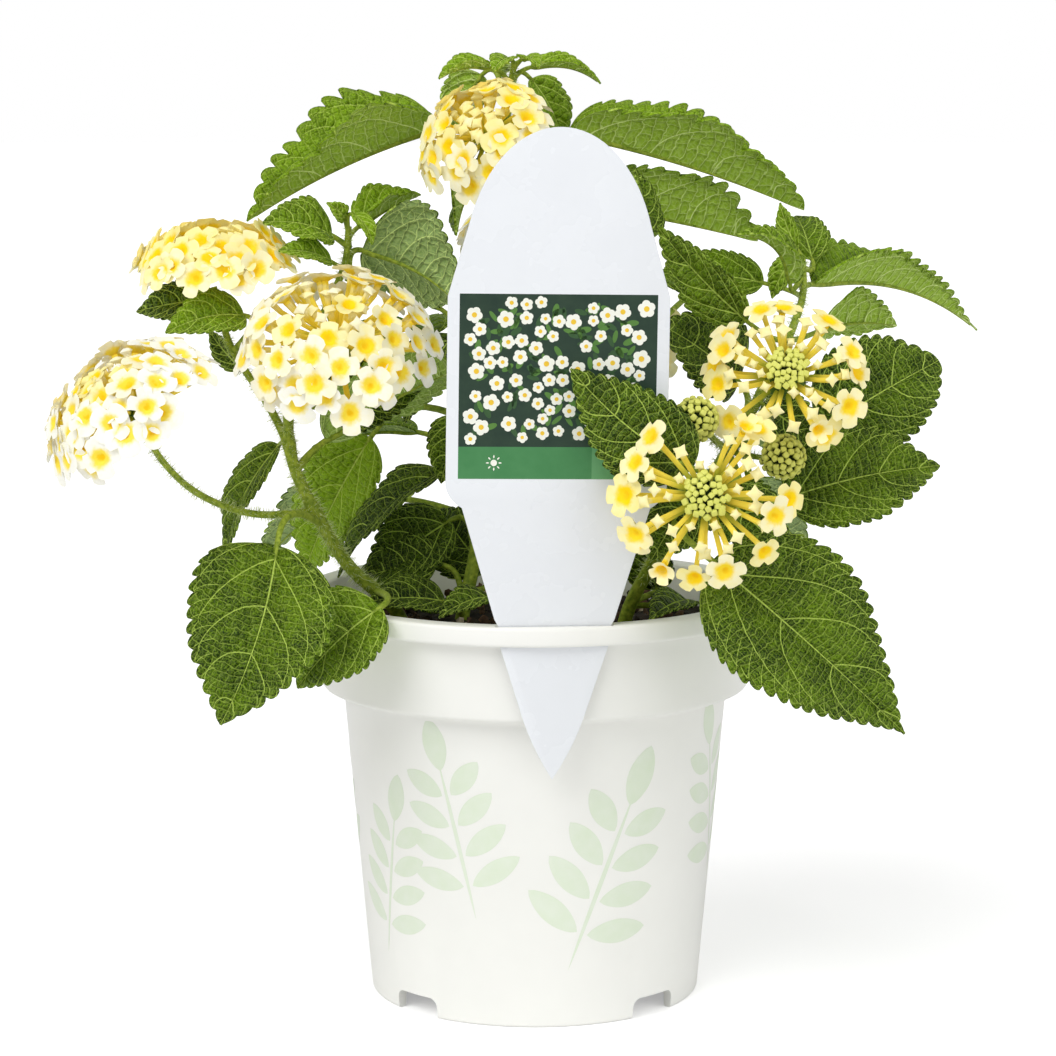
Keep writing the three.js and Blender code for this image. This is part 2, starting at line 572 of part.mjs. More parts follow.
const LEAVES = {
  // shoot at the top
  top_left: {
    from: at(-6, 4, 223), base: at(-11, 1, 227), tip: at(-23.2, -3, 224.3),
    faces: at(-0.1, -0.25, 1), width: 8.5, arch: 1.6, fold: 35, teeth: 5,
  },
  top_right: {
    from: at(-6, 4, 223), base: at(-1, 4, 227), tip: at(16, 8, 223),
    faces: at(0.1, -0.3, 1), width: 8, arch: 2.4, fold: 35, teeth: 5,
  },
  top_front: {
    from: at(-7, 5, 215), base: at(-13, 13, 225), tip: at(-21, 11, 212),
    faces: at(-0.2, 0.75, 0.3), width: 13, arch: 2, teeth: 4,
  },
  top_behind: {
    from: at(-6, 4, 217), base: at(-1, 15, 224), tip: at(7, 19, 207),
    faces: at(0.6, -0.7, 0.4), width: 13, arch: 2, teeth: 5,
  },
  upper_left: {
    from: at(-7, 5, 211), base: at(-24, 16, 211.5), tip: at(-69.5, 1, 190),
    faces: at(-0.1, -0.22, 1), width: 35, arch: 2.2, fold: 52, widest: 0.4, teeth: 7,
  },
  upper_right: {
    from: at(-7, 5, 208), base: at(8, 8, 212), tip: at(66, 16, 193),
    faces: at(0.05, -0.08, 1), width: 27, arch: 1.7, fold: 52, widest: 0.42, teeth: 8,
  },
  under_top: {
    from: at(-8, 7, 190), base: at(-13, 3, 203), tip: at(-19, -7, 187),
    faces: at(-0.6, 0.2, 0.4), width: 15, arch: 1.5, teeth: 5,
  },
  second_right: {
    from: at(-8, 8, 180), base: at(12, 16, 194), tip: at(55.5, 22, 184),
    faces: at(0, 0.05, 1), width: 31, arch: 0.6, fold: 56, widest: 0.45, teeth: 7,
  },
  // left shoot
  left_grey: {
    from: at(-45, -4, 176), base: at(-42, 0, 183), tip: at(-21, -6, 171),
    faces: at(0.2, 0.8, 0.6), width: 33, arch: 3, teeth: 6,
  },
  left_fresh_right: {
    from: at(-45, -4, 184), base: at(-43, 2, 187.5), tip: at(-28, 9, 195),
    faces: at(0, -0.25, 1), width: 13, arch: 1, fold: 45, teeth: 5,
  },
  left_fresh_left: {
    from: at(-45, -4, 184), base: at(-49, -6, 187), tip: at(-65, -14, 191),
    faces: at(0, -0.7, 0.75), width: 12, arch: 2, teeth: 5,
  },
  under_left_head: {
    from: at(-72, -15, 160), base: at(-69, -22, 167), tip: at(-87, -29, 163),
    faces: at(-0.2, -0.75, 0.6), width: 15, arch: 2.5, teeth: 5,
  },
  far_left_dark: {
    from: at(-76, -13, 170), base: at(-80, -3, 168), tip: at(-96, 0, 165),
    faces: at(-0.1, -0.8, 0.6), width: 10, arch: 1, teeth: 5,
  },
  left_edge_on: {
    from: at(-66, -19, 151), base: at(-71, -8, 154), tip: at(-80, -4, 163),
    faces: at(-0.7, -0.2, 0.5), width: 11, arch: 1, teeth: 5,
  },
  grey_middle: {
    from: at(-52, -22, 120), base: at(-45, -21, 137), tip: at(-19, -28, 156),
    faces: at(-0.3, 0.6, 0.7), width: 20, arch: 3,
  },
  narrow_left: {
    from: at(-58, -23, 136), base: at(-61, -14, 137.2), tip: at(-74.8, -8, 108.5),
    faces: at(-0.8, -0.55, 0.3), width: 12, arch: 3,
  },
  bright_middle: {
    from: at(-11, 6, 138), base: at(-41, 20, 135), tip: at(-59, 32, 98),
    faces: at(-0.35, -0.85, 0.2), width: 24, arch: 3,
  },
  front_left: {
    from: at(-51, -22, 119), base: at(-60, -46, 117), tip: at(-73, -58, 78),
    faces: at(-0.15, -0.95, 0.25), width: 34, arch: 3, sweep: -2.8, teeth: 7,
  },
  low_left: {
    from: at(-38.5, -11.5, 101), base: at(-36, -46, 103), tip: at(-55.5, -47, 84),
    faces: at(-0.1, -0.8, 0.6), width: 25, arch: 3, teeth: 7, stalkBend: 0.12,
  },
  // centre, low
  long_dark: {
    from: at(-13, 5, 120), base: at(-23, 5, 128), tip: at(-49, 9, 101),
    faces: at(-0.66, -0.35, 0.66), width: 18, arch: 4, teeth: 7,
  },
  dark_middle: {
    from: at(-15, 4, 106), base: at(-21, 12, 115), tip: at(-42, 9, 99),
    faces: at(0.1, -0.75, 0.65), width: 21, arch: 2,
  },
  behind_label_left: {
    from: at(-9, 8, 165), base: at(-20, 14, 161), tip: at(-32, 6, 140),
    faces: at(-0.5, -0.7, 0.5), width: 18, arch: 2,
  },
  // right shoot
  over_label: {
    from: at(46, -24, 136), base: at(36, -57, 141), tip: at(8, -58.5, 160),
    faces: at(0.04, -1, 0.1), width: 23, arch: 0.5, fold: 6,
  },
  behind_label_right: {
    from: at(50, -22, 145), base: at(48, -9, 152), tip: at(29, -18, 167),
    faces: at(-0.1, -0.8, 0.6), width: 18, arch: 2,
  },
  right_folded: {
    from: at(61, -12, 163), base: at(50, -27, 168), tip: at(29, -20, 190),
    faces: at(-0.75, -0.5, 0.3), width: 15, arch: 2,
  },
  right_edge_on: {
    from: at(-8, 8, 172), base: at(27, -8, 186), tip: at(24, -4, 203),
    faces: at(0.85, -0.5, 0.1), width: 12, arch: 1, teeth: 5,
  },
  right_light: {
    from: at(64, -5, 170), base: at(57, 20, 177), tip: at(30, 24, 179),
    faces: at(0, -0.8, 0.6), width: 14, arch: 2,
  },
  right_arch_left: {
    from: at(65, -1, 177), base: at(61.4, -8.5, 175.5), tip: at(47.5, -17, 188),
    faces: at(0.75, -0.15, 0.65), width: 11, arch: 4.3, fold: 42, teeth: 5,
  },
  right_top_dark: {
    from: at(65, -1, 179), base: at(69, 7, 181), tip: at(66, 22, 193),
    faces: at(0, -0.7, 0.7), width: 14, arch: 2, teeth: 5,
  },
  right_long: {
    from: at(65, -2, 174), base: at(67.5, 3, 174.5), tip: at(114.5, 52, 159),
    faces: at(0.1, -0.02, 1), width: 22, arch: 5.4, fold: 50, widest: 0.27, teeth: 8,
  },
  right_pale: {
    from: at(62, -9, 165), base: at(72, 24, 161.5), tip: at(91, 36, 161.5),
    faces: at(0, 0.75, 0.65), width: 16, arch: 2, teeth: 5,
  },
  right_dark: {
    from: at(55, -20, 152), base: at(69, -10, 142), tip: at(98, -4, 160),
    faces: at(-0.1, -0.9, 0.4), width: 32, arch: 2, widest: 0.42, teeth: 6,
  },
  right_middle: {
    from: at(50, -22, 144), base: at(60, -26, 125), tip: at(97.5, -20, 132.1),
    faces: at(0, -0.8, 0.6), width: 31, arch: 3, teeth: 6,
  },
  front_right: {
    from: at(36, -21, 122), base: at(41, -56, 115), tip: at(85, -54, 74),
    faces: at(0.15, -0.9, 0.4), width: 39, arch: 4, sweep: 1.2, widest: 0.3, teeth: 8,
  },
  low_right_dark: {
    from: at(31, -14, 112), base: at(30, -2, 100), tip: at(25, -6, 119),
    faces: at(-0.3, -0.8, 0.1), width: 14, arch: 1, teeth: 5,
  },
  // behind, hidden in a front view
  back_upper_left: {
    from: at(-16, 41, 154), base: at(-26, 50, 158), tip: at(-47, 76, 148),
    faces: at(-0.2, 0.3, 0.9), width: 25, arch: 5, teeth: 5,
  },
  back_upper_right: {
    from: at(19, 38, 149), base: at(40, 52, 168), tip: at(50, 78, 156),
    faces: at(0.1, 0.3, 0.9), width: 25, arch: 5, teeth: 5,
  },
  back_middle: {
    from: at(-16, 37, 130), base: at(-10, 52, 132), tip: at(6, 79, 112),
    faces: at(0, 0.5, 0.85), width: 28, arch: 4, teeth: 5,
  },
  back_low_left: {
    from: at(-15, 33, 112), base: at(-40, 46, 116), tip: at(-72, 62, 96),
    faces: at(-0.3, 0.4, 0.85), width: 28, arch: 5, teeth: 5,
  },
  back_low_right: {
    from: at(17, 33, 110), base: at(40, 42, 118), tip: at(72, 60, 100),
    faces: at(0.3, 0.4, 0.85), width: 28, arch: 5, teeth: 5,
  },
  back_top: {
    from: at(-7, 7, 195), base: at(-4, 20, 198), tip: at(-8, 58, 190),
    faces: at(0, 0.2, 1), width: 24, arch: 6, teeth: 5,
  },
};

// ---- flower heads -------------------------------------------------------------------------------

// Points on a circle square to a direction, as a function of the step, the radius and the height.
function circleRound(middle, out, turn, steps) {
  const across = Math.abs(out.z) < 0.9 ? at(0, 0, 1) : at(1, 0, 0);
  const right = out.clone().cross(across).normalize();
  const ahead = right.clone().cross(out);
  return (step, radius, height) => {
    const angle = turn + (2 * Math.PI * step) / steps;
    return middle.clone()
      .addScaledVector(right, Math.cos(angle) * radius)
      .addScaledVector(ahead, Math.sin(angle) * radius)
      .addScaledVector(out, height);
  };
}

// An open floret: a lobed mouth with a sunken throat, on a neck that narrows to a slim tube.
function openFloret(root, mouth, radius, turn) {
  const out = mouth.clone().sub(root).normalize();
  const corners = 2 * FLORET.lobes;
  const circle = circleRound(mouth, out, turn, corners);
  const points = [];
  for (let k = 0; k < corners; k += 1) {
    points.push(circle(k, k % 2 ? FLORET.notch * radius : radius, FLORET.lift));
  }
  for (let k = 0; k < corners; k += 2) {
    const neck = FLORET.neckShare * radius + FLORET.neckRadius;
    points.push(circle(k, neck, -FLORET.neckDrop * radius - FLORET.throat));
  }
  points.push(circle(0, 0, -FLORET.throat), root);
  const throat = points.length - 2;
  const foot = points.length - 1;
  const index = [];
  for (let k = 0; k < FLORET.lobes; k += 1) {
    const lobe = 2 * k;
    const notch = lobe + 1;
    const nextLobe = (lobe + 2) % corners;
    const neck = corners + k;
    const nextNeck = corners + ((k + 1) % FLORET.lobes);
    index.push(throat, lobe, notch, throat, notch, nextLobe);
    index.push(lobe, neck, notch, notch, neck, nextNeck, notch, nextNeck, nextLobe);
    index.push(neck, foot, nextNeck);
  }
  return facets(points, index);
}

// A bud: a slim tube that swells to a four-sided knob.
function bud(root, crown, radius) {
  const out = crown.clone().sub(root).normalize();
  const { sides } = BUD;
  const circle = circleRound(crown, out, 0, sides);
  const points = [];
  const index = [];
  for (let k = 0; k < sides; k += 1) {
    const next = (k + 1) % sides;
    points.push(circle(k, radius, -BUD.shoulder * radius));
    index.push(k, next, sides, next, k, sides + 1);
  }
  return facets([...points, crown, root], index);
}

// Directions over a dome round an axis, evenly spread by the golden angle.
function domeDirections(axis, count, fromAngle, toAngle, draw) {
  const across = Math.abs(axis.z) < 0.9 ? at(0, 0, 1) : at(1, 0, 0);
  const right = axis.clone().cross(across).normalize();
  const ahead = right.clone().cross(axis);
  const goldenAngle = Math.PI * (3 - Math.sqrt(5));
  const start = draw() * 2 * Math.PI;
  return Array.from({ length: count }, (_, k) => {
    const share = (k + 0.5) / count;
    const tilt = Math.acos(THREE.MathUtils.lerp(Math.cos(fromAngle), Math.cos(toAngle), share));
    const angle = start + goldenAngle * k;
    return { tilt, right, ahead, angle };
  });
}

function placeOnDome(head, { tilt, right, ahead, angle }, share) {
  return head.centre.clone()
    .addScaledVector(head.axis, Math.cos(tilt) * head.height * share)
    .addScaledVector(right, Math.sin(tilt) * Math.cos(angle) * head.radius * share)
    .addScaledVector(ahead, Math.sin(tilt) * Math.sin(angle) * head.radius * share);
}

function headCore(head, share) {
  const core = new THREE.IcosahedronGeometry(1, 0);
  const turn = new THREE.Quaternion().setFromUnitVectors(at(0, 0, 1), head.axis);
  core.scale(head.radius * share, head.radius * share, head.height * share);
  core.applyQuaternion(turn);
  core.translate(...head.centre.toArray());
  return solid(core);
}

const degrees = THREE.MathUtils.degToRad;

// Adds one shape at each of a number of places between two angles from the head's axis.
function ringOfShapes(head, count, [from, to], draw, shape) {
  return domeDirections(head.axis, count, degrees(from), degrees(to), draw).map(shape);
}

// A ring of open florets, each with its mouth near the dome.
function ringOfFlorets(head, count, { root, mouth, between }, draw) {
  return ringOfShapes(head, count, between, draw, (place) => {
    const face = placeOnDome(head, place, 1 - HEAD.jitter + HEAD.jitter * draw());
    return openFloret(placeOnDome(head, place, root), face, mouth, draw() * Math.PI);
  });
}

function ringOfBuds(head, count, { root, crown, radius, between }, draw) {
  const oneBud = (place) => bud(placeOnDome(head, place, root), placeOnDome(head, place, crown), radius);
  return ringOfShapes(head, count, between, draw, oneBud);
}

// A full head: open florets all over a dome.
function openHead(head) {
  const florets = ringOfFlorets(head, head.florets, HEAD.open, drawer(head.seed));
  return fuse([headCore(head, HEAD.open.core), ...florets]);
}

// A young head: a ring of open florets round star buds on tubes, with small buds in the middle.
function youngHead(head) {
  const draw = drawer(head.seed);
  const florets = ringOfFlorets(head, head.florets, HEAD.young, draw);
  const starBuds = ringOfBuds(head, HEAD.starBuds.count, HEAD.starBuds, draw);
  const smallBuds = ringOfBuds(head, HEAD.smallBuds.count, HEAD.smallBuds, draw);
  return fuse([headCore(head, HEAD.young.core), ...florets, ...starBuds, ...smallBuds]);
}

// A bud head: a small dome all covered in buds.
function budHead(head) {
  const buds = ringOfBuds(head, head.florets, HEAD.inBud, drawer(head.seed));
  return fuse([headCore(head, HEAD.inBud.core), ...buds]);
}

const HEADS = {
  head_top: {
    make: openHead, centre: at(-12, -8, 210), axis: at(-0.35, -0.6, 0.7),
    radius: 15.5, height: 10, florets: 16, seed: 11, colour: COLOUR.yellow,
  },
  head_upper_left: {
    make: openHead, centre: at(-77, -12, 179), axis: at(-0.05, -0.2, 1),
    radius: 18, height: 9, florets: 19, seed: 12, colour: COLOUR.yellow,
  },
  head_far_left: {
    make: openHead, centre: at(-94, -48, 147), axis: at(-0.4, -0.4, 0.82),
    radius: 20.5, height: 14, florets: 21, seed: 13, colour: COLOUR.white,
  },
  head_centre_left: {
    make: openHead, centre: at(-46, -35, 163), axis: at(0, -0.75, 0.66),
    radius: 22, height: 14, florets: 22, seed: 14, colour: COLOUR.white,
  },
  head_upper_right: {
    make: youngHead, centre: at(58, -41, 156), axis: at(0, -0.9, 0.42),
    radius: 17.5, height: 14, florets: 10, seed: 15, colour: COLOUR.yellow,
  },
  head_lower_right: {
    make: youngHead, centre: at(38.5, -67, 132), axis: at(-0.08, -0.98, 0.15),
    radius: 19, height: 12, florets: 11, seed: 16, colour: COLOUR.yellow,
  },
  head_back_upper: {
    make: openHead, centre: at(-2, 48, 181), axis: at(0.1, 0.6, 0.8),
    radius: 16, height: 11, florets: 14, seed: 17, colour: COLOUR.white,
  },
  head_back_lower: {
    make: youngHead, centre: at(22, 51, 154), axis: at(-0.1, 0.7, 0.7),
    radius: 15, height: 12, florets: 8, seed: 18, colour: COLOUR.yellow,
  },
  bud_head_left: {
    make: budHead, centre: at(37, -47, 147), axis: at(-0.1, -0.85, 0.5),
    radius: 4.4, height: 5, florets: 8, seed: 19, colour: COLOUR.bud,
  },
  bud_head_right: {
    make: budHead, centre: at(58, -36, 137), axis: at(0.2, -0.9, 0.2),
    radius: 4.4, height: 5, florets: 8, seed: 20, colour: COLOUR.bud,
  },
};

function makeHead(spec) {
  const head = { ...spec, axis: spec.axis.clone().normalize() };
  return mainBody(head.make(head).subtract(allSleeves));
}

// ---- soil ---------------------------------------------------------------------------------------

function makeSoil() {
  const reach = (z) => bodyRadius(z) - POT.wall - GAP;
  const bandReach = POT.bandFootRadius - POT.wall - GAP;
  const shelf = POT.bandFoot + POT.wall - 1 + GAP + 0.1;
  const crown = SOIL.rings.map((radius) => [radius, SOIL.surface]);
  const profile = [
    [0, floorTop + GAP],
    [reach(floorTop), floorTop + GAP],
    [reach(POT.bandFoot), shelf],
    [bandReach, shelf + 1],
    [bandReach, SOIL.surface - SOIL.edgeDrop],
    ...crown,
    [0, SOIL.surface],
    [0, floorTop + GAP],
  ];
  const heap = turned(profile, SOIL.facets);
  const position = heap.getAttribute('position');
  for (let i = 0; i < position.count; i += 1) {
    const [x, y, z] = [position.getX(i), position.getY(i), position.getZ(i)];
    const swell = Math.sin(x * 0.31 + 1.3) * Math.cos(y * 0.27) + 0.5 * Math.sin(x * 0.83 + y * 0.61);
    if (z > SOIL.surface - 0.5) position.setZ(i, z + SOIL.relief * swell);
  }
  const holes = Object.values(STEMS).map(([{ through, radii }]) => {
    const foot = through[0].clone().lerp(through[1], -0.08);
    const mouth = through[0].clone().lerp(through[1], 1.5);
    const wide = radii[0] + SOIL.holeGap;
    return rod(new THREE.LineCurve3(foot, mouth), wide, wide, 6, 1);
  });
  return mainBody(solid(heap).subtract(fuse(holes)));
}

// ---- assembly -----------------------------------------------------------------------------------

const group = new THREE.Group();

function add(name, body, look) {
  const mesh = new THREE.Mesh(geometryOf(body), look);
  mesh.name = name;
  group.add(mesh);
}

add('pot', makePot(), material(COLOUR.pot, 0.35));
add('soil', makeSoil(), material(COLOUR.soil, 0.95));
add('plant_label', makeLabel(), material(COLOUR.label, 0.3));
for (const name of Object.keys(STEMS)) {
  add(`stem_${name}`, makeStem(name), material(COLOUR.stem, 0.7));
}
for (const [name, leaf] of Object.entries(LEAVES)) {
  const colour = name.includes('fresh') ? COLOUR.freshLeaf : COLOUR.leaf;
  add(`leaf_${name}`, wholeLeaf(leaf), material(colour, 0.55));
}
for (const [name, head] of Object.entries(HEADS)) {
  add(name, makeHead(head), material(head.colour, 0.7));
}

export default group;
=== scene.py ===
"""A flowering lantana in its nursery pot: everything that shows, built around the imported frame."""

import random
from functools import partialmethod
from math import acos, atan2, copysign, cos, exp, hypot, log, pi, radians, sin, sqrt
from typing import NamedTuple

import bmesh
import bpy
from mathutils import Euler, Matrix, Vector, noise


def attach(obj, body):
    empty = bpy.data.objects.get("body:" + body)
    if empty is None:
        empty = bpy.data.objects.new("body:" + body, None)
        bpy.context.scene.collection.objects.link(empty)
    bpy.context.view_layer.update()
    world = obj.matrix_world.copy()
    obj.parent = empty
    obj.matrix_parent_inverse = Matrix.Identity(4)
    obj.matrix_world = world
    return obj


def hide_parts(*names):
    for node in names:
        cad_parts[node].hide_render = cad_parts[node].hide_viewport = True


bl_info = {
    "name": "Potted Lantana",
    "version": (1, 0, 0),
    "blender": (4, 5, 0),
    "location": "3D View > Sidebar > Lantana",
    "description": "Builds a flowering lantana in its nursery pot around the packed frame",
    "category": "Object",
}

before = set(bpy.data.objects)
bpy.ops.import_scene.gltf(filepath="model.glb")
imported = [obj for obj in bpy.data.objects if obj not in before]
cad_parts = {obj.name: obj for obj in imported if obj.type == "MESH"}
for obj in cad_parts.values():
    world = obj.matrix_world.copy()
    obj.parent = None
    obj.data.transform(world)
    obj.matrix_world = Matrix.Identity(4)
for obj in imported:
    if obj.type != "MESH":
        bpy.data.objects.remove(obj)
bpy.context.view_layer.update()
MM = 0.001  # every size below is in millimetres, and a finished piece is scaled to metres

# ---- the plant's own measures --------------------------------------------------------------------


class Leaf(NamedTuple):
    """Where a leaf's stalk leaves the stem, its base and tip, the way it faces, width, arch and tone."""

    stalk_foot: tuple
    base: tuple
    tip: tuple
    faces: tuple
    width: float
    arch: float
    tone: float  # 0 is dark and 1 light: partly the leaf's age, from old to fresh, and partly painted light and shade, high for a leaf that faces the light and low for one in shade
    fold: float = 16  # degrees that each half rises from the midrib
    stalk_bend: float = 0.45  # how far before the blade the stalk turns into line, as a share
    widest: float = 0.34  # where along the blade it is widest, as a share
    sweep: float = 0  # how far the midrib bows sideways within the blade


class Run(NamedTuple):
    """A shoot: the points that it grows through, and its radius at the start and at the end."""

    through: list
    radii: tuple


# In these tables a leaf's tone is partly painted light and shade. Leaves that face the light have high tones.
# Leaves in shade have tones near nought: deep in the pot, behind the label and in the middle.
LEAVES = {
    "top_left": Leaf(
        (-6, 4, 223), (-11, 1, 227), (-23.2, -3, 224.3), (-0.1, -0.25, 1), 8.5, 1.6, 0.9, fold=35
    ),
    "top_right": Leaf((-6, 4, 223), (-1, 4, 227), (16, 8, 223), (0.1, -0.3, 1), 8, 2.4, 0.85, fold=35),
    "top_front": Leaf((-7, 5, 215), (-13, 13, 225), (-21, 11, 212), (-0.2, 0.75, 0.3), 13, 2, 0.75),
    "top_behind": Leaf((-6, 4, 217), (-1, 15, 224), (7, 19, 207), (0.6, -0.7, 0.4), 13, 2, 0.7),
    "upper_left": Leaf(
        (-7, 5, 211), (-23.5, 16, 212.5), (-70, 1, 190), (-0.1, -0.22, 1), 35, 2.2, 0.75, fold=52
    ),
    "upper_right": Leaf(
        (-7, 5, 208), (8, 8, 211.5), (66.5, 16, 192), (0.05, -0.08, 1), 33, 1.7, 0.8, fold=52, widest=0.4
    ),
    "under_top": Leaf((-8, 7, 190), (-13, 3, 203), (-19, -7, 187), (-0.6, 0.2, 0.4), 19, 1.5, 0.5),
    "second_right": Leaf(
        (-8, 8, 180), (12, 16, 194), (55.5, 22, 184), (0, 0.05, 1), 31, 0.6, 0.7, fold=56, widest=0.45
    ),
    "left_grey": Leaf((-45, -4, 176), (-42, 0, 183), (-19, -6, 171), (0.2, 0.8, 0.6), 35, 3, 0.4),
    "left_fresh_right": Leaf(
        (-45, -4, 184), (-43, 2, 188.5), (-28, 9, 196), (0, -0.25, 1), 15, 1, 0.85, fold=45
    ),
    "left_fresh_left": Leaf((-45, -4, 184), (-49, -6, 187), (-65, -14, 190.5), (0, -0.7, 0.75), 16, 2, 0.6),
    "under_left_head": Leaf(
        (-72, -15, 160), (-69, -22, 169), (-87, -29, 165.5), (-0.2, -0.75, 0.6), 15, 2.5, 0.6
    ),
    "far_left_dark": Leaf((-76, -13, 172), (-80, -3, 171), (-97, 0, 168), (-0.1, -0.8, 0.6), 12, 1, 0.15),
    "left_edge_on": Leaf((-66, -19, 151), (-71, -8, 155), (-79, -4, 164), (-0.7, -0.2, 0.5), 7, 1, 0.2),
    "grey_middle": Leaf(
        (-57, -24, 132), (-50, -21, 139), (-18.5, -28, 157), (-0.3, 0.6, 0.7), 30, 3, 0.5, widest=0.52,
        sweep=-2.5,
    ),
    "narrow_left": Leaf(
        (-58, -23, 136), (-61.5, -14, 137.2), (-75.5, -8, 108.5), (-0.8, -0.55, 0.3), 14, 3, 0.35
    ),
    "bright_middle": Leaf((-11, 6, 138), (-41, 20, 135), (-59, 32, 98), (-0.35, -0.85, 0.2), 24, 3, 0.85),
    "front_left": Leaf(
        (-51, -22, 119), (-60, -46, 117.5), (-72.6, -58, 77.5), (-0.15, -0.95, 0.25), 37, 3, 0.3, sweep=-2.8
    ),
    "low_left": Leaf(
        (-38.5, -11.5, 101), (-36, -46, 103), (-55.5, -47, 84), (-0.1, -0.8, 0.6), 24, 3, 0.46,
        stalk_bend=0.12,
    ),
    "long_dark": Leaf((-13, 5, 120), (-23, 5, 128), (-49, 9, 101), (-0.66, -0.35, 0.66), 18, 4, 0.05),
    "dark_middle": Leaf((-15, 4, 106), (-21, 12, 115), (-42, 9, 99), (0.1, -0.75, 0.65), 21, 2, 0.02),
    "behind_label_left": Leaf((-9, 8, 165), (-20, 14, 161), (-32, 6, 140), (-0.5, -0.7, 0.5), 18, 2, 0.1),
    "over_label": Leaf(
        (46, -24, 136), (36, -57, 137), (8, -58.5, 160), (0.04, -1, 0.1), 22, 0.5, 0.1, fold=6, sweep=-2
    ),
    "behind_label_right": Leaf(
        (50, -22, 145), (49, -9, 152), (29, -18, 167), (-0.1, -0.8, 0.6), 24, 2, 0.05
    ),
    "right_folded": Leaf((61, -12, 163), (50, -27, 168), (29, -20, 190), (-0.75, -0.5, 0.3), 15, 2, 0.4),
    "right_edge_on": Leaf((-8, 8, 172), (27, -8, 186), (24, -4, 203), (0.85, -0.5, 0.1), 12, 1, 0.35),
    "right_light": Leaf((64, -5, 170), (57, 20, 173.5), (30, 24, 175.5), (0, -0.8, 0.6), 14, 2, 0.55),
    "right_arch_left": Leaf(
        (65, -1, 177), (61.4, -8.5, 175.5), (47.5, -17, 188), (0.75, -0.15, 0.65), 11, 4.3, 0.6, fold=42
    ),
    "right_top_dark": Leaf((65, -1, 179), (68, 7, 180), (65, 22, 190), (0, -0.7, 0.7), 12, 2, 0.5),
    "right_long": Leaf(
        (65, -2, 174), (67.5, 3, 174.5), (114.5, 52, 159), (0.1, -0.02, 1), 24, 5.4, 0.7, fold=50,
        widest=0.27,
    ),
    "right_pale": Leaf((62, -9, 165), (72, 24, 161.5), (92, 36, 161.5), (0, 0.75, 0.65), 21, 2, 0.9),
    "right_dark": Leaf(
        (55, -20, 152), (69, -10, 140), (98, -4, 156.5), (-0.1, -0.9, 0.4), 31, 2, 0.15, widest=0.4
    ),
    "right_middle": Leaf((50, -22, 144), (59, -26, 125.5), (96.8, -20, 132.8), (0, -0.8, 0.6), 30, 3, 0.28),
    "front_right": Leaf(
        (36, -21, 122), (40.5, -56, 115.5), (85.6, -54, 74.6), (0.15, -0.9, 0.4), 40, 4, 0.27, widest=0.3,
        sweep=0.6,
    ),
    "low_right_dark": Leaf((31, -14, 112), (30, -2, 100), (25, -6, 119), (-0.3, -0.8, 0.1), 14, 1, 0.1),
    "back_upper_left": Leaf((-16, 41, 154), (-26, 50, 158), (-47, 76, 148), (-0.2, 0.3, 0.9), 25, 5, 0.5),
    "back_upper_right": Leaf((19, 38, 149), (40, 52, 168), (50, 78, 156), (0.1, 0.3, 0.9), 25, 5, 0.45),
    "back_middle": Leaf((-16, 37, 130), (-10, 52, 132), (6, 79, 112), (0, 0.5, 0.85), 28, 4, 0.3),
    "back_low_left": Leaf((-15, 33, 112), (-40, 46, 116), (-72, 62, 96), (-0.3, 0.4, 0.85), 28, 5, 0.35),
    "back_low_right": Leaf((17, 33, 110), (40, 42, 118), (72, 60, 100), (0.3, 0.4, 0.85), 28, 5, 0.3),
    "back_top": Leaf((-7, 7, 195), (-4, 20, 198), (-8, 58, 190), (0, 0.2, 1), 24, 6, 0.6),
}
